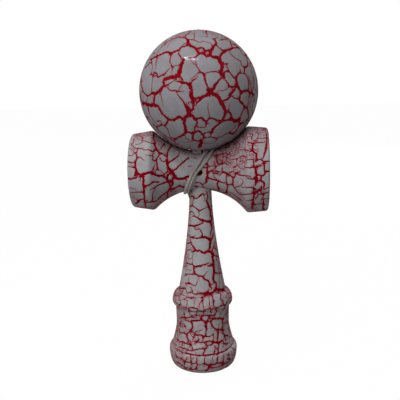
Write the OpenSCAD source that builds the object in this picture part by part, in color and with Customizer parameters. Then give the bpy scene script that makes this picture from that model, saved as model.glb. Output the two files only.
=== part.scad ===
// Kendama: a turned handle with a spike, a cross-piece with two cups, and a ball on a string.
// Millimetres. The handle stands on the rim of its base cup at z = 0, and +X points along the cross-piece
// to the big cup. The string comes out of the back of the cross-piece.

/* [Ball] */
// Diameter of the ball
ball_d = 60; // [50:0.5:70]
// Diameter of the spike hole in the ball
ball_bore_d = 16; // [15:0.5:19]
// Diameter of the bevelled mouth of the spike hole
ball_mouth_d = 19.6; // [18:0.2:26]
// Diameter of the string hole at the top of the ball
string_hole_d = 3; // [2.4:0.1:4]
// Diameter of the countersink round the string hole
string_sink_d = 10; // [8:0.2:12]

/* [Cross-piece] */
// Length of the cross-piece from cup rim to cup rim
cross_l = 69.8; // [66:0.2:80]
// Diameter of the cross-piece at its waist
cross_waist_d = 20.2; // [18:0.2:24]
// Diameter of the big cup at its ridge
big_d = 44.6; // [42:0.2:46]
// Diameter of the big cup at its rim
big_rim_d = 43; // [40:0.2:46]
// Depth of the big cup's bowl
big_bowl_h = 9; // [6:0.5:10]
// Diameter of the small cup at its ridge
small_d = 41.4; // [38:0.2:44]
// Diameter of the small cup at its rim
small_rim_d = 38.4; // [36:0.2:42]
// Depth of the small cup's bowl
small_bowl_h = 8.5; // [6:0.5:10]
// Radius of the hollow flank behind the small cup
small_flare_r = 32.2; // [30:0.2:38]
// Width of the lip round a cup's bowl
cup_lip_w = 1.9; // [1.6:0.1:3]
// Radius of the rounded outer edge of a cup's rim
cup_rim_round = 1.5; // [0.5:0.1:1.5]
// Diameter of the spare string hole at the front
spare_hole_d = 3.4; // [2.6:0.1:4]
// Width of the bevel round the spare string hole
spare_bevel_w = 0.5; // [0.2:0.1:0.8]

/* [Handle] */
// Diameter of the base cup's foot
foot_d = 31.8; // [28:0.2:34]
// Depth of the base cup's bowl
foot_bowl_h = 7; // [5:0.5:9]
// Width of the flat rim that the base cup stands on
foot_rim_w = 1.7; // [1:0.1:3]
// Diameter of the base flange
flange_d = 36.8; // [35:0.2:40]
// Height of the flange's widest line above the foot
flange_h = 8.3; // [6:0.1:10]
// Diameter of the crease above the flange
shoulder_d = 34; // [31:0.2:34.8]
// Rise from the flange's widest line to the crease
shoulder_h = 2.1; // [1:0.1:4]
// Diameter of the handle's waist
waist_d = 28.4; // [24:0.2:30]
// Rise from the crease to the waist
waist_low_h = 12.2; // [8:0.2:16]
// Diameter of the crease under the bead moulding
neck_d = 28.8; // [25:0.2:31]
// Rise from the waist to the bead moulding
waist_high_h = 10.8; // [8:0.2:16]
// Diameter of the bead moulding
moulding_d = 32.3; // [31.2:0.1:36]
// Rise from the lower crease to the moulding's widest line
moulding_low_h = 2; // [1:0.1:4]
// Rise from the moulding's widest line to the stem
moulding_high_h = 5.6; // [4:0.1:8]
// Diameter of the stem where it leaves the moulding
collar_d = 25.2; // [22:0.2:28]
// Length of the stem from the moulding to the cross-piece
stem_h = 54.3; // [50:0.1:65]
// Diameter of the stem under the cross-piece
stem_d = 11.5; // [10:0.1:13]
// Length of the spike above the cross-piece
spike_h = 36.9; // [30:0.1:42]
// Diameter of the spike's round tip
spike_tip_d = 7.4; // [6:0.1:9]

/* [String] */
// Diameter of the string
string_d = 1.4; // [1:0.1:1.5]
// Diameter of the knot in the handle
anchor_knot_d = 4; // [3.4:0.1:4.4]
// Diameter of the knot under the bead
bead_knot_d = 4.4; // [3.6:0.1:5]
// Diameter of the bead inside the ball
bead_d = 9; // [7:0.1:11]
// Height of the bead inside the ball
bead_h = 4.4; // [3:0.1:6]

/* [Clearances] */
// Gap between the ball and what it rests on
seat_gap = 0.15; // [0.1:0.05:0.6]
// Gap between the handle's taper and the bore of the cross-piece
taper_gap = 0.1; // [0.05:0.01:0.2]
// Gap round the string in its holes
string_gap = 0.3; // [0.2:0.05:0.5]
// Gap between the string and the wood that it lies on
lay_gap = 0.15; // [0.1:0.05:0.4]
// Gap between a knot and the pocket that holds it
knot_gap = 0.4; // [0.2:0.05:0.6]
// Room between the spike's tip and the knot under the bead
spike_room = 0.7; // [0.4:0.1:2]

/* [Hidden] */
$fn = 96;

// Colours
flake_grey = [0.66, 0.66, 0.68];
bead_wood = [0.8, 0.62, 0.4];
string_white = [0.9, 0.89, 0.84];

// How far a cut runs past the face that it opens
overrun = 1;
// Steps in a short round stretch and in a long one
short_steps = 6;
long_steps = 14;
// How fast the handle's curves straighten out
waist_bend = 1.4;
neck_bend = 2;
stem_bend = 1.6;
// Height of a knot, and how far its pocket runs past the spike's axis, as shares of its diameter
knot_height_share = 0.7;
pocket_share = 0.3;

// Radii
ball_r = ball_d / 2;
cross_waist_r = cross_waist_d / 2;
foot_r = foot_d / 2;
flange_r = flange_d / 2;
shoulder_r = shoulder_d / 2;
waist_r = waist_d / 2;
neck_r = neck_d / 2;
moulding_r = moulding_d / 2;
collar_r = collar_d / 2;
stem_r = stem_d / 2;
tip_r = spike_tip_d / 2;
string_r = string_d / 2;

// Heights, each section of the handle on the one below it
shoulder_z = flange_h + shoulder_h;
waist_z = shoulder_z + waist_low_h;
neck_z = waist_z + waist_high_h;
moulding_z = neck_z + moulding_low_h;
collar_z = moulding_z + moulding_high_h;
cross_low_z = collar_z + stem_h;
cross_z = cross_low_z + cross_waist_r;
cross_top_z = cross_z + cross_waist_r;
tip_z = cross_top_z + spike_h;
tip_centre_z = tip_z - tip_r;

// The ball rests in the hollow of the cross-piece, with its spike hole as deep as the spike, knot and bead
ball_z = cross_top_z + seat_gap + ball_r;
bead_knot_h = bead_knot_d * knot_height_share;
bead_knot_z = tip_z + spike_room;
bead_z = bead_knot_z + bead_knot_h;
bore_end_z = bead_z + bead_h + seat_gap;
mouth_z = ball_z - sqrt(pow(ball_r, 2) - pow(ball_mouth_d / 2, 2));
sink_z = ball_z + sqrt(pow(ball_r, 2) - pow(string_sink_d / 2, 2));

// The flank behind the big cup is hollowed to the ball's own curve
big_flare_r = ball_r + seat_gap;

// The knot's pocket in the handle, along Y, and the string's hole behind it
pocket_d = anchor_knot_d + 2 * knot_gap;
pocket_end_y = anchor_knot_d * pocket_share;
string_bore_d = string_d + 2 * string_gap + lay_gap;

// The winding: its loops swing along the cross-piece to clear the stem and the spike, lean and step aside
wind_stem_gap = 1.35;
loop_gap = 1;
wind_lean_share = 1.7;
wind_offset = 0.1;
wind_swing = stem_r + string_d + wind_stem_gap;
wind_lean = string_d * wind_lean_share;
wind_pitch = string_d + loop_gap;
// The shares of their step and swing that the loops lose on the top, where they lie close beside the spike
wind_squeeze = 0.35;
wind_tuck = 0.165;
wind_start = 45;
wind_end = 625;
loop_rings = 24;
wind_sides = 6;
cord_sides = 8;
cord_steps = 2;
// The tightest bend of the string
bend_share = 2;
bend_r = string_d * bend_share;
// The string over the back of the ball: how far its middle lies off the wood, and off the ball's centre
over_off = string_r + string_gap;
over_r = ball_r + over_off;
// The slack loop behind the handle, from the winding to the back of the ball
tail_points = [[-6.6, 7, 91.4], [-6, 10.6, 88], [-5.2, 12.8, 82], [-4.4, 14, 75], [-3.6, 15.2, 68],
    [-2.8, 17.6, 62], [-2.2, 21.4, 59], [-1.6, 25.6, 60], [-1.1, 28.8, 64], [-0.7, 30.4, 71],
    [-0.4, 30.8, 80], [-0.2, 31, 92], [0, 31, 106], [0, 31, 120], [0, 31, 133]];

// Points of an ellipse's arc after its first one
function bow(centre, half, from, to, steps) =
    [for (i = [1 : steps]) let (a = from + (to - from) * i / steps)
        centre + [half.x * cos(a), half.y * sin(a)]];

// Points of a bend between two places on an outline, after its first one, steepest at the start
function ease_in(from, to, bend, steps) =
    [for (i = [1 : steps]) let (t = i / steps)
        [to.x + (from.x - to.x) * pow(1 - t, bend), from.y + (to.y - from.y) * t]];

// The same, steepest at the end
function ease_out(from, to, bend, steps) =
    [for (i = [1 : steps]) let (t = i / steps)
        [from.x + (to.x - from.x) * pow(t, bend), from.y + (to.y - from.y) * t]];

// Half outline of the handle: radius and height
ken_outline = concat(
    [[0, 0], [foot_r, 0]],
    bow([foot_r, flange_h], [flange_r - foot_r, flange_h], -90, 0, short_steps),
    bow([shoulder_r, flange_h], [flange_r - shoulder_r, shoulder_h], 0, 90, short_steps),
    ease_in([shoulder_r, shoulder_z], [waist_r, waist_z], waist_bend, short_steps),
    ease_out([waist_r, waist_z], [neck_r, neck_z], neck_bend, short_steps),
    bow([neck_r, moulding_z], [moulding_r - neck_r, moulding_low_h], -90, 0, short_steps),
    bow([collar_r, moulding_z], [moulding_r - collar_r, moulding_high_h], 0, 90, short_steps),
    ease_in([collar_r, collar_z], [stem_r, cross_low_z], stem_bend, long_steps),
    [[tip_r, tip_centre_z]],
    bow([0, tip_centre_z], [tip_r, tip_r], 0, 90, short_steps));

// Radius of the handle's taper at a height above the stem
function taper_r(z) = stem_r + (tip_r - stem_r) * (z - cross_low_z) / (tip_centre_z - cross_low_z);

// Radius of the cross-piece between its two ridges
function flank_r(x) =
    let (r = x < 0 ? small_flare_r : big_flare_r) cross_waist_r + r - sqrt(r * r - x * x);

// Distance from the waist to the ridge of a cup
function ridge_x(d, flare_r) = sqrt(pow(flare_r, 2) - pow(flare_r - d / 2 + cross_waist_r, 2));

// Half outline of one cup and its flank: radius and distance from the waist
function cup_outline(d, rim_d, flare_r) =
    let (far = ridge_x(d, flare_r), end = cross_l / 2, turn = asin(far / flare_r)) concat(
        [[cross_waist_r, 0]],
        bow([cross_waist_r + flare_r, 0], [flare_r, flare_r], 180, 180 - turn, long_steps),
        bow([rim_d / 2 - cup_rim_round, end - cup_rim_round], [cup_rim_round, cup_rim_round], 0, 90,
            short_steps));

// Radius of the sphere whose cap has the given mouth and depth
function cap_r(mouth_r, h) = (pow(mouth_r, 2) + pow(h, 2)) / (2 * h);

// A round solid bitten out of a face, with its mouth at z = 0 and its depth towards -z
module bowl(mouth_r, h) {
    r = cap_r(mouth_r, h);
    translate([0, 0, r - h]) sphere(r);
}

// One half of the cross-piece along +Z, with its bowl
module cup(d, rim_d, bowl_h, flare_r) {
    difference() {
        rotate_extrude() polygon(concat([[0, 0]], cup_outline(d, rim_d, flare_r), [[0, cross_l / 2]]));
        translate([0, 0, cross_l / 2]) bowl(rim_d / 2 - cup_lip_w, bowl_h);
    }
}

// A straight round cut along +Y, from one y to another, at the height of the cross-piece
module y_cut(d, from, to) {
    translate([0, from, cross_z]) rotate([-90, 0, 0]) cylinder(d = d, h = to - from);
}

// Handle: base cup, bead moulding, stem and spike in one turned piece
module ken() {
    color(flake_grey) difference() {
        rotate_extrude() polygon(ken_outline);
        mirror([0, 0, 1]) bowl(foot_r - foot_rim_w, foot_bowl_h);
        y_cut(pocket_d, -stem_d, pocket_end_y);
        y_cut(string_bore_d, 0, stem_d);
    }
}

// Cross-piece with its two cups, the tapered bore and the two string holes
module sarado() {
    low = cross_low_z - overrun;
    high = cross_top_z + overrun;
    spare_r = spare_hole_d / 2;
    color(flake_grey) difference() {
        translate([0, 0, cross_z]) {
            rotate([0, 90, 0]) cup(big_d, big_rim_d, big_bowl_h, big_flare_r);
            rotate([0, -90, 0]) cup(small_d, small_rim_d, small_bowl_h, small_flare_r);
        }
        translate([0, 0, low])
            cylinder(r1 = taper_r(low) + taper_gap, r2 = taper_r(high) + taper_gap, h = high - low);
        y_cut(string_bore_d, 0, cross_waist_d);
        y_cut(spare_hole_d, -cross_waist_d, 0);
        translate([0, -cross_waist_r - spare_bevel_w, cross_z]) rotate([-90, 0, 0])
            cylinder(r1 = spare_r + 2 * spare_bevel_w, r2 = spare_r, h = 2 * spare_bevel_w);
    }
}

// Ball with its bevelled spike hole and its string hole
module tama() {
    low = ball_z - ball_r - overrun;
    bevel_h = (ball_mouth_d - ball_bore_d) / 2;
    sink_h = (string_sink_d - string_hole_d) / 2;
    color(flake_grey) difference() {
        translate([0, 0, ball_z]) sphere(ball_r);
        translate([0, 0, low]) cylinder(d = ball_bore_d, h = bore_end_z - low);
        translate([0, 0, mouth_z - bevel_h])
            cylinder(r1 = ball_mouth_d / 2 + bevel_h, r2 = ball_bore_d / 2, h = 2 * bevel_h);
        translate([0, 0, bore_end_z - overrun]) cylinder(d = string_hole_d, h = ball_r);
        translate([0, 0, sink_z - sink_h])
            cylinder(r1 = string_hole_d / 2, r2 = string_sink_d / 2 + sink_h, h = 2 * sink_h);
    }
}

// Bead inside the ball, which the string's end knot pulls against
module bead() {
    color(bead_wood) translate([0, 0, bead_z]) difference() {
        intersection() {
            translate([0, 0, bead_h / 2]) sphere(d = bead_d);
            cylinder(d = bead_d, h = bead_h);
        }
        translate([0, 0, -overrun]) cylinder(d = string_d + 2 * string_gap, h = bead_h + 2 * overrun);
    }
}

// A knot with its flat face at z = 0 and its body towards -z
module knot(d, h) {
    intersection() {
        translate([0, 0, d / 2 - h]) sphere(d = d);
        translate([0, 0, -h]) cylinder(d = d, h = h);
    }
}

// Knot in the handle's pocket
module anchor_knot() {
    color(string_white) translate([0, pocket_end_y, cross_z]) rotate([-90, 0, 0])
        knot(anchor_knot_d, anchor_knot_d * knot_height_share);
}

// Knot under the bead
module bead_knot() {
    color(string_white) translate([0, 0, bead_z]) knot(bead_knot_d, bead_knot_h);
}

function unit(v) = v / norm(v);

// A smooth line through hand-placed points, with steps to each stretch
function smooth(p, steps) = let (n = len(p) - 1) concat(
    [for (i = [0 : n - 1], k = [0 : steps - 1])
        let (t = k / steps, a = p[max(i - 1, 0)], b = p[i], c = p[i + 1], d = p[min(i + 2, n)])
        b + (c - a) * t / 2 + (2 * a - 5 * b + 4 * c - d) * pow(t, 2) / 2
            + (3 * b - a - 3 * c + d) * pow(t, 3) / 2],
    [p[n]]);

// Direction of a line at one of its points
function heading(p, i) = unit(p[min(i + 1, len(p) - 1)] - p[max(i - 1, 0)]);

// One tube along a line that never runs along X, closed at both ends
module tube(p, r, sides) {
    n = len(p);
    rings = [for (i = [0 : n - 1])
        let (h = heading(p, i), side = unit(cross(h, [1, 0, 0])), up = cross(side, h))
        for (k = [0 : sides - 1]) let (a = 360 * k / sides) p[i] + r * (side * cos(a) + up * sin(a))];
    walls = [for (i = [0 : n - 2], k = [0 : sides - 1])
        let (a = i * sides + k, b = i * sides + (k + 1) % sides)
        each [[a, b, b + sides], [a, b + sides, a + sides]]];
    first_cap = [for (k = [1 : sides - 2]) [0, k + 1, k]];
    last = (n - 1) * sides;
    last_cap = [for (k = [1 : sides - 2]) [last, last + k, last + k + 1]];
    polyhedron(rings, concat(walls, first_cap, last_cap));
}

// The winding's centre at an angle about the cross-piece, from the back by way of the top
function wound(a) =
    let (top = pow(max(0, sin(a)), 2),
        swing = wind_swing * (1 - wind_tuck * top),
        step = wind_pitch * (1 - wind_squeeze * top),
        x = swing * sin(a) + wind_lean * cos(a) + wind_offset + step * (a / 360 - 1),
        r = flank_r(x) + string_r + lay_gap) [x, r * cos(a), cross_z + r * sin(a)];

wind_count = round((wind_end - wind_start) / 360 * loop_rings);
loops = [for (i = [0 : wind_count]) wound(wind_start + (wind_end - wind_start) * i / wind_count)];
loops_end = loops[wind_count];
loops_out = string_d * unit(loops_end - loops[wind_count - 1]);
wind_exit = loops_end + loops_out;

// The string out of the hole at the back of the cross-piece, bent over to the first loop
knot_face = [0, pocket_end_y, cross_z];
lead_out = unit(loops[1] - loops[0]);
lead_side = unit([lead_out.x, 0, lead_out.z]);
lead_turn = acos(lead_out.y);
lead_bend = [for (i = [0 : short_steps]) let (a = lead_turn * i / short_steps)
    [0, cross_waist_r + bend_r * sin(a), cross_z] + lead_side * bend_r * (1 - cos(a))];
wind_line = concat([knot_face, knot_face + [0, string_d, 0]], lead_bend, loops, [wind_exit]);

// The slack loop, straight at both ends
over_start = [0, over_r, ball_z - string_d];
tail_route = concat([wind_exit + loops_out], tail_points, [over_start - [0, 0, string_d]]);
tail_line = concat([wind_exit], smooth(tail_route, cord_steps), [over_start]);

// Round the back of the ball, down the slope of the countersink, and through the string hole to the knot
slope = 45;
slope_z = sink_z - string_sink_d / 2 + over_off / cos(slope);
bend_off = over_r - bend_r;
over_turn = slope + asin((slope_z - ball_z - bend_r / cos(slope)) / (bend_off / cos(slope)));
rim_bend = [bend_off * cos(over_turn), ball_z + bend_off * sin(over_turn)];
hole_bend = [bend_r, slope_z - bend_r * tan(slope / 2)];
bend_half = [bend_r, bend_r];
over_side = concat(
    bow([0, ball_z], [over_r, over_r], 0, over_turn, long_steps),
    bow(rim_bend, bend_half, over_turn, 180 - slope, short_steps),
    bow(hole_bend, bend_half, 180 - slope, 180, short_steps),
    [for (i = [1 : short_steps]) [0, hole_bend.y + (bead_z - hole_bend.y) * i / short_steps]]);
over_line = concat([over_start, [0, over_r, ball_z]], [for (p = over_side) [0, p.x, p.y]]);

// Distance from a point to a straight stretch
function off_stretch(q, a, b) =
    let (t = (q - a) * (b - a) / ((b - a) * (b - a))) norm(q - a - (b - a) * max(0, min(1, t)));

// Least gap of the winding to itself, from its points to its stretches more than half a loop away
far_rings = loop_rings / 2;
wind_last = len(wind_line) - 1;
loop_gaps = [for (i = [0 : wind_last - far_rings], k = [i + far_rings : wind_last - 1])
    off_stretch(wind_line[i], wind_line[k], wind_line[k + 1])];
echo(winding_least_gap = min(loop_gaps) - string_d);

// Length of a line
function run(p) =
    let (steps = [for (i = [1 : len(p) - 1]) norm(p[i] - p[i - 1])]) steps * [for (s = steps) 1];
echo(string_lengths = [run(wind_line), run(tail_line), run(over_line)]);

// String from the knot in the handle, out at the back and twice round the crossing
module string_winding() {
    color(string_white) tube(wind_line, string_r, wind_sides);
}

// Slack loop of the string behind the stem
module string_tail() {
    color(string_white) tube(tail_line, string_r, cord_sides);
}

// String over the back of the ball and through its top to the bead
module string_over() {
    color(string_white) tube(over_line, string_r, cord_sides);
}

ken();
sarado();
tama();
bead();
anchor_knot();
bead_knot();
string_winding();
string_tail();
string_over();
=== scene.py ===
"""Kendama in crackle lacquer: the looks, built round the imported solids. Plain lengths are in millimetres."""

import math

import bmesh
import bpy
import numpy as np
from mathutils import Matrix, Vector


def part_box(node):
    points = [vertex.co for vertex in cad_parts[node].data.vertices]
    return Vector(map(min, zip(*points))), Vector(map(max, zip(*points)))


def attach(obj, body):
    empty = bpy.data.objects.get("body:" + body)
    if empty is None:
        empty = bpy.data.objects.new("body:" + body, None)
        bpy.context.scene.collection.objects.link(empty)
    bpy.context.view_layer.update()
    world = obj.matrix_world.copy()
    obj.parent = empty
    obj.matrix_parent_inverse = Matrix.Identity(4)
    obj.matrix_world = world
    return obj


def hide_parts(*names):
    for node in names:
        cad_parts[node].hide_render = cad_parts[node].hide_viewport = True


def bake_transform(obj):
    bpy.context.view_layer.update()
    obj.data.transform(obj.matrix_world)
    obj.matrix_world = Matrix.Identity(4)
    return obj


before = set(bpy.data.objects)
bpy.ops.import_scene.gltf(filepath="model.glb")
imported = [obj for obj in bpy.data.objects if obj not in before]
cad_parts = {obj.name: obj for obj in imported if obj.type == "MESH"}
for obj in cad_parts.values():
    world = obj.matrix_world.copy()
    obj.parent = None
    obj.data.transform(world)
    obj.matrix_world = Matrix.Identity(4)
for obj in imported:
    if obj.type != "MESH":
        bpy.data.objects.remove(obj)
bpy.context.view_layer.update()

MM = 0.001
# Added where a length could be 0
TINY, NUDGE = 1e-9, 1e-6

# Camera, fitted to the photograph: its lens in pixels, and its distance, height and angles
IMAGE_PX = 400
LENS_PX = 571.9
SENSOR = 36
CLIP_NEAR_M, CLIP_FAR_M = 0.01, 50
CAMERA_D = 294.7
CAMERA_Z = 144.9
CAMERA_PITCH = math.radians(10.64)
CAMERA_ROLL = math.radians(1.03)
CAMERA_SIDE = math.radians(-3.33)
CAMERA_YAW = math.radians(-3.4)

# Handle, from the foot up: diameters and rises, and how sharply its curves bend
FOOT_D, FOOT_RIM_W, FOOT_BOWL_H = 31.8, 1.7, 7
FLANGE_D, FLANGE_H = 36.8, 8.3
SHOULDER_D, SHOULDER_H = 34, 2.1
WAIST_D, WAIST_LOW_H, WAIST_HIGH_H = 28.4, 12.2, 10.8
WAIST_LOW_BEND, WAIST_HIGH_BEND = 1.4, 2
NECK_D = 28.8
MOULDING_D, MOULDING_LOW_H, MOULDING_HIGH_H = 32.3, 2, 5.6
COLLAR_D = 25.2
STEM_D, STEM_H, STEM_BEND = 11.5, 54.3, 1.6
SPIKE_H, TIP_D = 36.9, 7.4

# Cross-piece
CROSS_L = 69.8
CROSS_WAIST_R = 10.1
BIG_D, BIG_RIM_D, BIG_BOWL_H = 44.6, 43, 9
SMALL_D, SMALL_RIM_D, SMALL_BOWL_H, SMALL_FLARE_R = 41.4, 38.4, 8.5, 32.2
CUP_LIP_W, CUP_RIM_ROUND = 1.9, 1.5
RIDGE_REACH, RIDGE_PASSES = 2.6, 5
SPARE_HOLE_D, SPARE_BEVEL_W = 3.4, 0.5

# Ball. Its mouth is narrower than the solid's, so that no pale rim shows under it
BALL_R = 30
BORE_D, MOUTH_D = 16, 17.6
STRING_HOLE_D, STRING_SINK_D = 3, 10

# Clearances, how far the ball settles into its gap, a cut's overrun, and where the pieces stand
SEAT_GAP = 0.15
SETTLE = 0.14
TAPER_GAP = 0.1
CUT_OVERRUN = 1
COLLAR_Z = FLANGE_H + SHOULDER_H + WAIST_LOW_H + WAIST_HIGH_H + MOULDING_LOW_H + MOULDING_HIGH_H
CROSS_LOW_Z = COLLAR_Z + STEM_H
CROSS_Z = CROSS_LOW_Z + CROSS_WAIST_R
CROSS_TOP_Z = CROSS_Z + CROSS_WAIST_R
TIP_Z = CROSS_TOP_Z + SPIKE_H
TIP_CENTRE_Z = TIP_Z - TIP_D / 2
BALL_Z = CROSS_TOP_Z + SEAT_GAP + BALL_R - SETTLE
BIG_FLARE_R = BALL_R + SEAT_GAP
BEAD_Z, BEAD_TOP_Z = (corner.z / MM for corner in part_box("bead"))
BORE_END_Z = BEAD_TOP_Z + SEAT_GAP

# String: its size, its holes, its two turns round the crossing, and the slack loop behind
STRING_D = 1.5
STRING_OFF = 0.8
KNOT_POCKET_D, KNOT_POCKET_Y = 4.8, 1.2
STRING_BORE_D = 2.2
SINK_SLOPE = 45
WIND_SWING, WIND_LEAN, WIND_OFFSET, WIND_PITCH = 8.5, 2.38, 0.1, 1.55
WIND_TUCK, WIND_NEAR = 0.165, 0.085
WIND_SPREAD, WIND_SPREAD_AT, WIND_SPREAD_POWER = 1.2, math.radians(135), 6
WIND_DRAW = 1.1
WIND_START, WIND_END = math.radians(45), math.radians(625)
BEND_R = 2.8
TAIL_POINTS = [
    (-6.6, 7, 91.4), (-6, 10.6, 88), (-5.2, 12.8, 82), (-4.4, 14, 75), (-3.6, 15.2, 68), (-2.8, 17.6, 62),
    (-2.2, 21.4, 59), (-1.6, 25.6, 60), (-1.1, 28.8, 64), (-0.7, 30.4, 71), (-0.4, 30.8, 80), (-0.2, 31, 92),
    (0, 31, 106), (0, 31, 120), (0, 31, 133),
]

# Plait of the string: strands, the length of a turn, the sides of its tube, and how far the strands stand out
PLAIT_STRANDS, PLAIT_LAY, PLAIT_SIDES = 4, 2.6, 20
PLAIT_LOW, PLAIT_SWELL = 0.93, 0.07

# Knots: a cord in three lobes
KNOT_STRAND_R, KNOT_SIDES, KNOT_POINTS = 0.62, 12, 120
KNOT_LOBE, KNOT_RISE = 2, 1.4

# Mesh density: the length of a side on what shows, in the cups and in the bores, and the points of the curves
FINE = 0.55
CUP_STEP = 0.8
COARSE = 1.4
STRING_STEP = 0.3
HANDLE_SIDES, CROSS_SIDES, BALL_SIDES, DRILL_SIDES = 220, 250, 340, 64
RIM_STEPS, SHORT_STEPS, LONG_STEPS, STEM_STEPS, BALL_STEPS = 8, 12, 24, 60, 240
BOWL_POINTS, FLANK_POINTS = 40, 160
WIND_POINTS, BEND_POINTS, OVER_STEPS = 240, 14, 60
LINE_STEPS = 8

# Turned meshes: which points of an outline are outside, its zones, no radius, and a sharp edge's angle
OUTER_REACH, OUTER_SLACK = 2 * FINE, 3 * FINE
LACQUER, WOOD = 0, 1
NO_RADIUS = 1e-6
SHARP_ANGLE = math.radians(48)

# Cracks: how their widths in the photograph's pixels become widths on the wood, their depth and their edges
THIN_PX, THICK_PX = 0.8, 2.4
BALL_SHARES, CROSS_SHARES = (0.9, 1.28), (0.9, 1.3)
HANDLE_SHARES, BASE_SHARES = (0.85, 1.25), (0.75, 0.95)
CRACK_STEP_PX, CRACK_SHAKE_PX, CRACK_PULSE_SHARE = 0.7, 0.3, 0.16
CRACK_DEPTH, CRACK_SLOPE_W = 0.16, 0.3
CRACK_REACH, CRACK_JUMP, FAR = 3, 3, 9.0
RAY_SPAN, RAY_STEP = 70, 0.25
HANDLE_SEED, BASE_SEED, CROSS_SEED, BALL_SEED = 3, 4, 5, 9

# Random cells on what the photograph doesn't show, and fine ones on the base: spacing and half width, how
# they bend, how their widths vary, and where they fade out
HANDLE_CELLS = [(6, 0.34), (3.4, 0.18)]
BASE_CELLS = [(3, 0.13)]
CROSS_CELLS = [(6.4, 0.34), (3.2, 0.18)]
BALL_CELLS = [(9, 0.6), (4.6, 0.25)]
CELL_TRIES, CELL_PARTS, CELL_LEAST_SHARE = 4000, 40, 0.05
CELL_BENDS = [(1.5, 5), (0.5, 1.6)]
CELL_THIN_SHARE, CELL_WIDE_SHARE, CELL_POWER = 0.25, 1.3, 1.6
LUCK_FIRST, LUCK_SECOND, LUCK_SCALE = 12.9898, 78.233, 43758.5453
LUMP_WAVES, LUMP_PITCH, LUMP_LEVEL = 12, 2.2, 3.5
SEEN_FROM, SEEN_TO = 0.16, 0.4
BALL_EDGE_W = 0.4
BASE_FADE_LOW, BASE_FADE_HIGH = 2, 8
BASE_FRONT_FROM, BASE_FRONT_TO, BASE_FRONT_SHARE = 0.6, 0.95, 0.7

# Crazing, which is also painted shade where the wood turns away from the camera: its level there, its patches,
# and the core of each patch
EDGE_CRAZE_AND_SHADE_LEVEL = 0.9
LIMB_FROM, LIMB_TO = 0.35, 0.85
PATCH_SIZE, PATCH_FROM, PATCH_TO = 9, -0.7, 0.5
CRAZE_CORE_SHARE = 0.4


def camera_axes():
    """The camera's place, and the directions of its view and of the image's right and down."""
    place = CAMERA_D * np.array([-math.sin(CAMERA_SIDE), -math.cos(CAMERA_SIDE), 0]) + [0, 0, CAMERA_Z]
    level = np.array([math.sin(CAMERA_YAW), math.cos(CAMERA_YAW), 0])
    ahead = level * math.cos(CAMERA_PITCH) - np.array([0, 0, math.sin(CAMERA_PITCH)])
    right = np.array([math.cos(CAMERA_YAW), -math.sin(CAMERA_YAW), 0])
    down = np.cross(ahead, right)
    c, s = math.cos(CAMERA_ROLL), math.sin(CAMERA_ROLL)
    return place, ahead, c * right + s * down, c * down - s * right


EYE, AHEAD, RIGHT, DOWN = camera_axes()


def new_object(name, data):
    made = bpy.data.objects.new(name, data)
    bpy.context.scene.collection.objects.link(made)
    return made


def add_camera():
    data = bpy.data.cameras.new("camera")
    data.sensor_width = SENSOR
    data.lens = LENS_PX * SENSOR / IMAGE_PX
    data.clip_start, data.clip_end = CLIP_NEAR_M, CLIP_FAR_M
    camera = new_object("camera", data)
    turn = Matrix([RIGHT, -DOWN, -AHEAD]).transposed().to_4x4()
    camera.matrix_world = Matrix.Translation(Vector(EYE) * MM) @ turn
    bpy.context.scene.camera = camera


add_camera()


# Materials

def srgb(r, g, b):
    """A colour written in the usual 0 to 255 steps, as linear light."""
    def linear(v):
        v = v / 255
        return v / 12.92 if v <= 0.04045 else ((v + 0.055) / 1.055) ** 2.4
    return linear(r), linear(g), linear(b), 1


class Nodes:
    """The node tree of a material or a world, with short calls for the nodes used here."""

    def __init__(self, owner):
        self.owner = owner
        owner.use_nodes = True
        self.tree = owner.node_tree
        self.tree.nodes.clear()

    def add(self, kind, inputs=None, **settings):
        node = self.tree.nodes.new(kind)
        for key, value in settings.items():
            setattr(node, key, value)
        for key, value in (inputs or {}).items():
            self.set(node.inputs[key], value)
        return node

    def set(self, socket, value):
        if isinstance(value, bpy.types.NodeSocket):
            self.tree.links.new(value, socket)
        else:
            socket.default_value = value

    def maths(self, operation, *values):
        node = self.add("ShaderNodeMath", operation=operation)
        for socket, value in zip(node.inputs, values):
            self.set(socket, value)
        return node.outputs[0]

    def ramp(self, value, low, high, to_low=0, to_high=1):
        """value from low to high becomes to_low to to_high, smoothly, and stays there outside."""
        inputs = {"Value": value, "From Min": low, "From Max": high, "To Min": to_low, "To Max": to_high}
        return self.add("ShaderNodeMapRange", inputs, interpolation_type="SMOOTHSTEP").outputs[0]

    def mix(self, share, a, b):
        node = self.add("ShaderNodeMix", data_type="RGBA")
        self.set(node.inputs[0], share)
        self.set(node.inputs[6], a)
        self.set(node.inputs[7], b)
        return node.outputs[2]

    def blend(self, share, a, b):
        """One shader in another's place, by share."""
        return self.add("ShaderNodeMixShader", {0: share, 1: a.outputs[0], 2: b.outputs[0]})

    def noise(self, size, detail=3, roughness=0.55, vector=None):
        """Noise whose features are about size millimetres across."""
        inputs = {"Scale": 1 / (size * MM), "Detail": detail, "Roughness": roughness}
        inputs["Vector"] = self.coordinates() if vector is None else vector
        return self.add("ShaderNodeTexNoise", inputs)

    def grey_noise(self, size, **settings):
        return self.noise(size, **settings).outputs["Fac"]

    def coordinates(self):
        return self.add("ShaderNodeTexCoord").outputs["Object"]

    def vectors(self, operation, a, b):
        return self.add("ShaderNodeVectorMath", {0: a, 1: b}, operation=operation).outputs[0]

    def attribute(self, name):
        return self.add("ShaderNodeAttribute", attribute_name=name).outputs["Fac"]

    def bump(self, height, distance, strength):
        inputs = {"Height": height, "Distance": distance, "Strength": strength}
        return self.add("ShaderNodeBump", inputs).outputs[0]

    def principled(self, **inputs):
        names = {key.replace("_", " "): value for key, value in inputs.items()}
        return self.add("ShaderNodeBsdfPrincipled", names)

    def finish(self, shader, output="ShaderNodeOutputMaterial"):
        self.add(output, {"Surface": shader.outputs[0]})
        return self.owner


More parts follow.
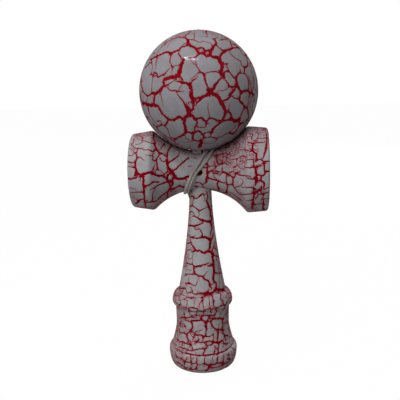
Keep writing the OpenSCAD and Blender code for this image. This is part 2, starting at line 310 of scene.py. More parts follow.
def material_nodes(name):
    return Nodes(bpy.data.materials.new(name))


# Lacquer: ragged crack edges, crazing, mottled flakes, the pink beside a crack, and gloss
NOISE_SPAN = 0.3, 0.7
TORN_SIZE, TORN_SHARE, TORN_MEAN = 0.9, 1.7, 0.5
EDGE_W = 0.05
NEAR_FROM, NEAR_TO = 0.45, 0.65
CRAZE_CELL, CRAZE_BEND_SIZE, CRAZE_BEND = 1.6, 1.2, 1
HAIR_FROM, HAIR_TO = 0.05, 0.11
MOTTLE_SIZE, RED_SIZE = 7, 2.5
FLECK_SIZE, FLECK_SPAN, FLECK_SHARE = 0.5, (0.35, 0.75), 0.22
PINK_FROM, PINK_TO, PINK_SHARE, CRAZE_PINK_SHARE = -0.4, 0.02, 0.3, 0.16
RELIEF, RELIEF_STRENGTH, FLECK_RELIEF_SHARE = 0.12, 0.7, 0.12
RED_ROUGHNESS, MIRROR_ROUGHNESS, CRACK_DULL_SHARE = 0.5, 0.09, 0.85
FLECK_GREY, THIN_PINK = srgb(126, 118, 122), srgb(176, 104, 120)
RED_LIGHT, RED_DARK = srgb(140, 3, 22), srgb(112, 1, 12)
WHITE = 1, 1, 1, 1

# Bare wood
GRAIN_SIZE, GRAIN_STRETCH, GRAIN_RELIEF, GRAIN_STRENGTH = 0.7, 0.12, 0.08, 0.6
RING_SIZE, RING_SPAN, RING_SHARE = 3, (0.4, 0.65), 0.5
WOOD_LIGHT, WOOD_DARK, WOOD_RING = srgb(202, 164, 108), srgb(168, 124, 70), srgb(186, 140, 82)

# Yarn
SOIL_SIZE = 6
FIBRE_SIZE, FIBRE_SPAN, FIBRE_SHARE, FIBRE_RELIEF, FIBRE_STRENGTH = 0.16, (0.35, 0.75), 0.35, 0.12, 0.8
YARN_LIGHT, YARN_SOILED, YARN_FIBRE = srgb(172, 162, 159), srgb(150, 140, 137), srgb(136, 125, 121)


def crackle(name, flake_light, flake_dark, roughness, gloss):
    """Pale lacquer that has cracked open over a deep red coat. The meshes carry where the cracks run."""
    n = material_nodes(name)
    side = n.maths("ABSOLUTE", n.attribute("crack_side"))
    half = n.attribute("crack_half")
    far = n.attribute("crack_far")
    torn = n.maths("SUBTRACT", n.grey_noise(TORN_SIZE, detail=4, roughness=0.65), TORN_MEAN)
    width = n.maths("MULTIPLY", half, n.maths("MULTIPLY_ADD", torn, TORN_SHARE, 1.0))
    inside = n.maths("SUBTRACT", width, side)
    near = n.ramp(n.maths("SUBTRACT", far, half), NEAR_FROM, NEAR_TO, 1, 0)
    crack = n.maths("MULTIPLY", n.ramp(inside, -EDGE_W, EDGE_W), near)
    # Very fine crazing where the lacquer went on thin, and on edges turned from the camera, where it is also
    # painted shade
    shift = n.vectors("MULTIPLY", n.noise(CRAZE_BEND_SIZE, detail=2).outputs["Color"], (CRAZE_BEND * MM,) * 3)
    bent = n.vectors("ADD", n.coordinates(), shift)
    cell = {"Scale": 1 / (CRAZE_CELL * MM), "Vector": bent}
    border = n.add("ShaderNodeTexVoronoi", cell, feature="DISTANCE_TO_EDGE").outputs[0]
    craze = n.attribute("craze")
    hair = n.maths("MULTIPLY", n.ramp(border, HAIR_FROM, HAIR_TO, 1, 0), craze)
    crack = n.maths("MAXIMUM", crack, hair)
    # The flakes: mottled, and a little pink where they thin out beside a crack
    mottle = n.grey_noise(MOTTLE_SIZE, detail=4, roughness=0.6)
    fleck = n.grey_noise(FLECK_SIZE, detail=2, roughness=0.5)
    flake = n.mix(n.ramp(mottle, *NOISE_SPAN), flake_light, flake_dark)
    flake = n.mix(n.ramp(fleck, *FLECK_SPAN, 0, FLECK_SHARE), flake, FLECK_GREY)
    thin = n.maths("MULTIPLY", n.ramp(inside, PINK_FROM, PINK_TO, 0, PINK_SHARE), near)
    pink = n.maths("MAXIMUM", thin, n.maths("MULTIPLY", craze, CRAZE_PINK_SHARE))
    flake = n.mix(pink, flake, THIN_PINK)
    red = n.mix(n.ramp(n.grey_noise(RED_SIZE), *NOISE_SPAN), RED_LIGHT, RED_DARK)
    relief = n.maths("SUBTRACT", n.maths("MULTIPLY", fleck, FLECK_RELIEF_SHARE), crack)
    normal = n.bump(relief, RELIEF * MM, RELIEF_STRENGTH)
    matt = n.principled(Base_Color=flake, Roughness=roughness, Specular_IOR_Level=0.0, Normal=normal)
    under = n.principled(Base_Color=red, Roughness=RED_ROUGHNESS, Specular_IOR_Level=0.0, Normal=normal)
    mirror = n.principled(Base_Color=WHITE, Metallic=1.0, Roughness=MIRROR_ROUGHNESS)
    shine = n.maths("MULTIPLY_ADD", crack, -CRACK_DULL_SHARE * gloss, gloss)
    return n.finish(n.blend(shine, n.blend(crack, matt, under), mirror))


def turned_wood():
    """Bare wood, where holes were drilled after the lacquer."""
    n = material_nodes("turned_wood")
    along = {"Vector": n.coordinates(), "Scale": (1, 1, GRAIN_STRETCH)}
    stretch = n.add("ShaderNodeMapping", along).outputs[0]
    grain = n.grey_noise(GRAIN_SIZE, detail=5, roughness=0.65, vector=stretch)
    rings = n.grey_noise(RING_SIZE, detail=2, roughness=0.5, vector=stretch)
    colour = n.mix(n.ramp(grain, *NOISE_SPAN), WOOD_LIGHT, WOOD_DARK)
    colour = n.mix(n.ramp(rings, *RING_SPAN, 0, RING_SHARE), colour, WOOD_RING)
    normal = n.bump(grain, GRAIN_RELIEF * MM, GRAIN_STRENGTH)
    return n.finish(n.principled(Base_Color=colour, Roughness=0.62, Specular_IOR_Level=0.3, Normal=normal))


def string_yarn():
    """Off-white plaited cord."""
    n = material_nodes("string_yarn")
    soil = n.grey_noise(SOIL_SIZE)
    fibre = n.grey_noise(FIBRE_SIZE, roughness=0.7)
    colour = n.mix(n.ramp(soil, *NOISE_SPAN), YARN_LIGHT, YARN_SOILED)
    colour = n.mix(n.ramp(fibre, *FIBRE_SPAN, 0, FIBRE_SHARE), colour, YARN_FIBRE)
    normal = n.bump(fibre, FIBRE_RELIEF * MM, FIBRE_STRENGTH)
    return n.finish(n.principled(Base_Color=colour, Roughness=0.85, Specular_IOR_Level=0.2,
                                 Sheen_Weight=0.25, Sheen_Roughness=0.5, Normal=normal))


# Finishes: the roughness of the flakes, and their share of mirror
GLOSSY, SATIN = (0.4, 0.02), (0.5, 0.004)
BALL_LACQUER = crackle("ball_lacquer", srgb(142, 142, 147), srgb(132, 130, 133), *GLOSSY)
CROSS_LACQUER = crackle("cross_lacquer", srgb(163, 162, 165), srgb(150, 148, 150), *SATIN)
HANDLE_LACQUER = crackle("handle_lacquer", srgb(167, 167, 169), srgb(155, 154, 156), *SATIN)
BARE_WOOD = turned_wood()
YARN = string_yarn()


# The string and its knots, made first

def unit(v):
    return v / np.linalg.norm(v, axis=-1, keepdims=True)


def flank_r(x):
    """Radius of the cross-piece between its ridges, at a distance along it."""
    flare = np.where(x < 0, SMALL_FLARE_R, BIG_FLARE_R)
    return CROSS_WAIST_R + flare - np.sqrt(flare**2 - x**2)


def bow(centre, half, start, stop, steps):
    """Points of an ellipse's arc after its first one, with angles in degrees."""
    a = np.radians(start + (stop - start) * np.arange(1, steps + 1) / steps)
    return np.stack([centre[0] + half[0] * np.cos(a), centre[1] + half[1] * np.sin(a)], 1)


def wound(angle):
    """The winding's middle at an angle about the cross-piece, from the back by way of the top."""
    top = np.maximum(0, np.sin(angle)) ** 2
    low = np.maximum(0, -np.sin(angle)) ** 2
    swing = WIND_SWING * (1 - WIND_TUCK * top - WIND_NEAR * low)
    spread = np.maximum(0, np.cos(angle - WIND_SPREAD_AT)) ** WIND_SPREAD_POWER
    pitch = WIND_PITCH * (1 + WIND_SPREAD * spread)
    x = swing * np.sin(angle) + WIND_LEAN * np.cos(angle) + WIND_OFFSET
    x = x + pitch * (angle / (2 * math.pi) - 1)
    x = x + WIND_DRAW * np.maximum(0, np.sin(2 * angle)) * (np.cos(angle) < 0)
    r = flank_r(x) + STRING_OFF
    return np.stack([x, r * np.cos(angle), CROSS_Z + r * np.sin(angle)], -1)


def smooth(points, steps):
    """A smooth line through given points, with steps to each stretch."""
    p = np.array(points, float)
    p = np.vstack([2 * p[0] - p[1], p, 2 * p[-1] - p[-2]])
    t = (np.arange(steps) / steps)[:, None]
    line = []
    for a, b, c, d in zip(p, p[1:], p[2:], p[3:]):
        bend = 2 * a - 5 * b + 4 * c - d
        twist = 3 * b - a - 3 * c + d
        line.append(b + (c - a) * t / 2 + bend * t**2 / 2 + twist * t**3 / 2)
    return np.vstack([*line, p[-2]])


def evenly(line, step):
    """The same line with its points about step apart."""
    run = np.concatenate([[0], np.cumsum(np.linalg.norm(np.diff(line, axis=0), axis=1))])
    at = np.linspace(0, run[-1], max(2, round(run[-1] / step) + 1))
    return np.stack([np.interp(at, run, column) for column in line.T], 1)


def winding_route():
    """The stretch from the knot in the handle twice round the crossing, and its last two points."""
    loops = wound(np.linspace(WIND_START, WIND_END, WIND_POINTS))
    out = unit(loops[1] - loops[0])
    aside = unit(np.array([out[0], 0, out[2]]))
    turn = np.linspace(0, math.acos(out[1]), BEND_POINTS)[:, None]
    straight = np.array([0, CROSS_WAIST_R, CROSS_Z]) + np.array([0, 1, 0]) * BEND_R * np.sin(turn)
    lead = straight + aside * BEND_R * (1 - np.cos(turn))
    knot_face = np.array([0, KNOT_POCKET_Y, CROSS_Z])
    leaves = loops[-1] + STRING_D * unit(loops[-1] - loops[-2])
    return np.vstack([knot_face, lead, loops, leaves]), loops[-1], leaves


def over_route():
    """From the ball's back over it and down its string hole to the bead."""
    over_r = BALL_R + STRING_OFF
    sink_z = BALL_Z + math.sqrt(BALL_R**2 - (STRING_SINK_D / 2) ** 2)
    slope_z = sink_z - STRING_SINK_D / 2 + STRING_OFF * math.sqrt(2)
    off = over_r - BEND_R
    rise = math.asin((slope_z - BALL_Z - BEND_R * math.sqrt(2)) / (off * math.sqrt(2)))
    turn = SINK_SLOPE + math.degrees(rise)
    rim = off * math.cos(math.radians(turn)), BALL_Z + off * math.sin(math.radians(turn))
    hole = BEND_R, slope_z - BEND_R * math.tan(math.radians(SINK_SLOPE / 2))
    over = np.vstack([
        [over_r, BALL_Z - STRING_D], [over_r, BALL_Z],
        bow((0, BALL_Z), (over_r, over_r), 0, turn, OVER_STEPS),
        bow(rim, (BEND_R, BEND_R), turn, 180 - SINK_SLOPE, SHORT_STEPS),
        bow(hole, (BEND_R, BEND_R), 180 - SINK_SLOPE, 180, SHORT_STEPS),
        [0, BEAD_Z],
    ])
    return np.insert(over, 0, 0, axis=1)


def string_routes():
    """The string's three stretches: round the crossing, slack behind, and over the ball to the bead."""
    winding, last, leaves = winding_route()
    over = over_route()
    tail = smooth([last, leaves, *TAIL_POINTS, over[0], over[1]], LINE_STEPS)[LINE_STEPS:-LINE_STEPS]
    return [evenly(line, STRING_STEP) for line in (winding, tail, over)]


def smooth_faces(mesh):
    mesh.polygons.foreach_set("use_smooth", np.ones(len(mesh.polygons), bool))


def cord_mesh(name, line, ahead, aside, radii, sides, closed):
    """A tube of yarn round a line: a closed loop, or a cord with flat ends."""
    across = unit(np.cross(ahead, aside))
    up = np.cross(across, ahead)
    a = np.linspace(0, 2 * math.pi, sides, endpoint=False)[:, None]
    rings = line[:, None] + (across[:, None] * np.cos(a) + up[:, None] * np.sin(a)) * radii
    index = np.arange(len(line) * sides).reshape(len(line), sides)
    low, high = (index, np.roll(index, -1, 0)) if closed else (index[:-1], index[1:])
    walls = np.stack([low, np.roll(low, -1, 1), np.roll(high, -1, 1), high], -1).reshape(-1, 4).tolist()
    ends = [] if closed else [index[0, ::-1].tolist(), index[-1].tolist()]
    mesh = bpy.data.meshes.new(name)
    mesh.from_pydata((rings.reshape(-1, 3) * MM).tolist(), [], walls + ends)
    mesh.materials.append(YARN)
    smooth_faces(mesh)
    return new_object(name, mesh)


def plaited(name, line, start):
    """A plaited cord along a line: a tube whose surface swells where its strands cross over each other."""
    run = start + np.arange(len(line)) * np.linalg.norm(line[1] - line[0])
    around = PLAIT_STRANDS * np.linspace(0, 2 * math.pi, PLAIT_SIDES, endpoint=False)[None] / 2
    along = (2 * math.pi * run / PLAIT_LAY)[:, None]
    swell = np.maximum(np.cos(around + along), np.cos(around - along))
    radii = STRING_D / 2 * (PLAIT_LOW + PLAIT_SWELL * swell)
    ahead = unit(np.gradient(line, axis=0))
    return cord_mesh(name, line, ahead, [1, 0, 0], radii[..., None], PLAIT_SIDES, False), run[-1]


def add_knot(name, node, body):
    """A tied knot: one cord wound over and under itself in the space of the solid."""
    low, high = (np.array(corner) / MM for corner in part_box(node))
    a = np.linspace(0, 2 * math.pi, KNOT_POINTS, endpoint=False)
    loop = np.stack([np.sin(a) + KNOT_LOBE * np.sin(2 * a), np.cos(a) - KNOT_LOBE * np.cos(2 * a),
                     -KNOT_RISE * np.sin(3 * a)], 1)
    size = high - low
    thin = int(np.argmin(size))
    order = [k for k in range(3) if k != thin] + [thin]
    room = (size / 2 - KNOT_STRAND_R)[order] / np.array([1 + KNOT_LOBE, 1 + KNOT_LOBE, KNOT_RISE])
    line = np.empty_like(loop)
    line[:, order] = loop * room
    line += (low + high) / 2
    ahead = unit(np.roll(line, -1, 0) - np.roll(line, 1, 0))
    aside = line - (low + high) / 2 + NUDGE
    knot = cord_mesh(name, line, ahead, aside, KNOT_STRAND_R, KNOT_SIDES, True)
    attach(knot, body)
    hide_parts(node)
    return knot


def add_string():
    winding, tail, over = string_routes()
    run = 0
    pieces = []
    names = "string_round_crossing", "string_slack", "string_over_ball"
    for name, line in zip(names, (winding, tail, over)):
        piece, run = plaited(name, line, run)
        pieces.append(piece)
    round_crossing, slack, over_ball = pieces
    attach(round_crossing, "handle")
    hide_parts("string_winding")
    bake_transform(slack)
    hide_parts("string_tail")
    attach(over_ball, "bead")
    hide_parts("string_over")

    anchor = add_knot("knot_in_handle", "anchor_knot", "handle")
    stop = add_knot("knot_under_bead", "bead_knot", "bead")


add_string()


# Turned pieces

def ease(start, stop, bend, steps, early):
    """Points of a bend between two places on an outline, after its first one, steepest early or late."""
    t = (np.arange(1, steps + 1) / steps)[:, None]
    share = 1 - (1 - t) ** bend if early else t**bend
    a, b = np.array(start, float), np.array(stop, float)
    return np.hstack([a[:1] + (b[:1] - a[:1]) * share, a[1:] + (b[1:] - a[1:]) * t])


def bowl_outline(mouth_r, depth, face, sign):
    """Outline of a round bowl from its middle to its mouth, sunk by depth into a face that looks to sign."""
    r = (mouth_r**2 + depth**2) / (2 * depth)
    a = np.linspace(0, math.asin(mouth_r / r), BOWL_POINTS)
    return np.stack([r * np.sin(a), face + sign * (r - depth) - sign * r * np.cos(a)], 1)


def spaced(stretches):
    """One outline from stretches of (points, spacing, zone): points, and the zone of the side after each."""
    points, zones = [], []
    for line, step, zone in stretches:
        line = np.array(line, float)
        if points:
            line = np.vstack([points[-1][-1], line])
        even = evenly(line, step)
        points.append(even if not points else even[1:])
        zones += [zone] * (len(even) - 1)
    return np.vstack(points), zones


def soften(outline, place):
    """The same outline with its corner at a place rounded off."""
    near = np.linalg.norm(outline - place, axis=1) < RIDGE_REACH
    for _ in range(RIDGE_PASSES):
        even = (np.roll(outline, 1, 0) + 2 * outline + np.roll(outline, -1, 0)) / 4
        outline = np.where(near[:, None], even, outline)
    return outline


def lathe(name, outline, zones, sides, along_x, materials):
    """A turned mesh: an outline of (radius, place along the axis), about Z or the cross-piece's axis."""
    closed = np.allclose(outline[0], outline[-1])
    if closed:
        outline = outline[:-1]
    turn = np.linspace(0, 2 * math.pi, sides, endpoint=False)
    verts, rings = [], []
    for r, h in outline:
        a = turn if r > NO_RADIUS else turn[:1]
        rings.append(np.broadcast_to(np.arange(len(a)) + len(verts), sides))
        across, up, along = r * np.cos(a), r * np.sin(a), np.full(len(a), h)
        verts += np.stack([along, across, CROSS_Z + up] if along_x else [across, up, along], 1).tolist()
    if closed:
        rings.append(rings[0])
    faces, kinds = [], []
    for low, high, zone in zip(rings, rings[1:], zones):
        corners = np.stack([low, np.roll(low, -1), np.roll(high, -1), high], 1).tolist()
        faces += [list(dict.fromkeys(c)) for c in corners]
        kinds += [zone] * sides
    mesh = bpy.data.meshes.new(name)
    mesh.from_pydata((np.array(verts) * MM).tolist(), [], faces)
    mesh.polygons.foreach_set("material_index", kinds)
    for material in materials:
        mesh.materials.append(material)
    shape = bmesh.new()
    shape.from_mesh(mesh)
    bmesh.ops.recalc_face_normals(shape, faces=shape.faces)
    shape.to_mesh(mesh)
    shape.free()
    return new_object(name, mesh)


def drill(piece, start, stop, r_start, r_stop):
    """Cuts a round or tapered hole along a line, with bare wood in it."""
    a, b = Vector(start) * MM, Vector(stop) * MM
    shape = bmesh.new()
    turn = (b - a).to_track_quat("Z", "Y").to_matrix().to_4x4()
    place = Matrix.Translation((a + b) / 2) @ turn
    bmesh.ops.create_cone(shape, cap_ends=True, segments=DRILL_SIDES, radius1=r_start * MM,
                          radius2=r_stop * MM, depth=(b - a).length, matrix=place)
    mesh = bpy.data.meshes.new("drill")
    shape.to_mesh(mesh)
    shape.free()
    mesh.materials.append(BARE_WOOD)
    tool = new_object("drill", mesh)
    cut = piece.modifiers.new("cut", "BOOLEAN")
    cut.operation = "DIFFERENCE"
    cut.solver = "MANIFOLD"
    cut.material_mode = "TRANSFER"
    cut.object = tool
    made = bpy.data.meshes.new_from_object(piece.evaluated_get(bpy.context.evaluated_depsgraph_get()))
    piece.modifiers.clear()
    piece.data = made
    bpy.data.objects.remove(tool)


def ken_outline():
    foot_r, flange_r, shoulder_r = FOOT_D / 2, FLANGE_D / 2, SHOULDER_D / 2
    waist_r, neck_r, moulding_r, collar_r = WAIST_D / 2, NECK_D / 2, MOULDING_D / 2, COLLAR_D / 2
    stem_r, tip_r = STEM_D / 2, TIP_D / 2
    shoulder_z = FLANGE_H + SHOULDER_H
    waist_z = shoulder_z + WAIST_LOW_H
    neck_z = waist_z + WAIST_HIGH_H
    moulding_z = neck_z + MOULDING_LOW_H
    seen = [
        [(foot_r, 0)],
        bow((foot_r, FLANGE_H), (flange_r - foot_r, FLANGE_H), -90, 0, LONG_STEPS),
        bow((shoulder_r, FLANGE_H), (flange_r - shoulder_r, SHOULDER_H), 0, 90, SHORT_STEPS),
        ease((shoulder_r, shoulder_z), (waist_r, waist_z), WAIST_LOW_BEND, LONG_STEPS, True),
        ease((waist_r, waist_z), (neck_r, neck_z), WAIST_HIGH_BEND, LONG_STEPS, False),
        bow((neck_r, moulding_z), (moulding_r - neck_r, MOULDING_LOW_H), -90, 0, SHORT_STEPS),
        bow((collar_r, moulding_z), (moulding_r - collar_r, MOULDING_HIGH_H), 0, 90, LONG_STEPS),
        ease((collar_r, COLLAR_Z), (stem_r, CROSS_LOW_Z), STEM_BEND, STEM_STEPS, True),
    ]
    return spaced([
        (bowl_outline(foot_r - FOOT_RIM_W, FOOT_BOWL_H, 0, -1), CUP_STEP, LACQUER),
        *[(line, FINE, LACQUER) for line in seen],
        ([(tip_r, TIP_CENTRE_Z)], COARSE, LACQUER),
        (bow((0, TIP_CENTRE_Z), (tip_r, tip_r), 0, 90, SHORT_STEPS), COARSE / 2, LACQUER),
    ])


def sarado_outline():
    end = CROSS_L / 2

    def ridge(d, flare):
        return math.sqrt(flare**2 - (flare - d / 2 + CROSS_WAIST_R) ** 2)
    big_x, small_x = ridge(BIG_D, BIG_FLARE_R), ridge(SMALL_D, SMALL_FLARE_R)
    big_r, small_r = BIG_RIM_D / 2, SMALL_RIM_D / 2
    waist = np.linspace(big_x, -small_x, FLANK_POINTS)
    soft = CUP_RIM_ROUND
    outline, zones = spaced([
        (bowl_outline(big_r - CUP_LIP_W, BIG_BOWL_H, end, 1), CUP_STEP, LACQUER),
        (bow((big_r - soft, end - soft), (soft, soft), 90, 0, RIM_STEPS), FINE, LACQUER),
        ([(BIG_D / 2, big_x)], FINE, LACQUER),
        (np.stack([flank_r(waist), waist], 1), FINE, LACQUER),
        (bow((small_r - soft, -end + soft), (soft, soft), 0, -90, RIM_STEPS), FINE, LACQUER),
        ([(small_r - CUP_LIP_W, -end)], FINE, LACQUER),
        (bowl_outline(small_r - CUP_LIP_W, SMALL_BOWL_H, -end, -1)[::-1], CUP_STEP, LACQUER),
    ])
    for ridge_at in ((BIG_D / 2, big_x), (SMALL_D / 2, -small_x)):
        outline = soften(outline, ridge_at)
    return outline, zones


def tama_outline():
    mouth_r, bore_r, hole_r, sink_r = MOUTH_D / 2, BORE_D / 2, STRING_HOLE_D / 2, STRING_SINK_D / 2
    mouth_a = -math.degrees(math.acos(mouth_r / BALL_R))
    sink_a = math.degrees(math.acos(sink_r / BALL_R))
    mouth_z = BALL_Z + BALL_R * math.sin(math.radians(mouth_a))
    sink_z = BALL_Z + BALL_R * math.sin(math.radians(sink_a))
    outer = np.vstack([(mouth_r, mouth_z), bow((0, BALL_Z), (BALL_R, BALL_R), mouth_a, sink_a, BALL_STEPS)])
    return spaced([
        (outer, FINE, LACQUER),
        ([(hole_r, sink_z - sink_r + hole_r)], COARSE, LACQUER),
        ([(hole_r, BORE_END_Z)], 2 * COARSE, WOOD),
        ([(bore_r, BORE_END_Z)], 2 * COARSE, WOOD),
        ([(bore_r, mouth_z + mouth_r - bore_r)], 2 * COARSE, WOOD),
        ([(mouth_r, mouth_z)], COARSE, LACQUER),
    ])
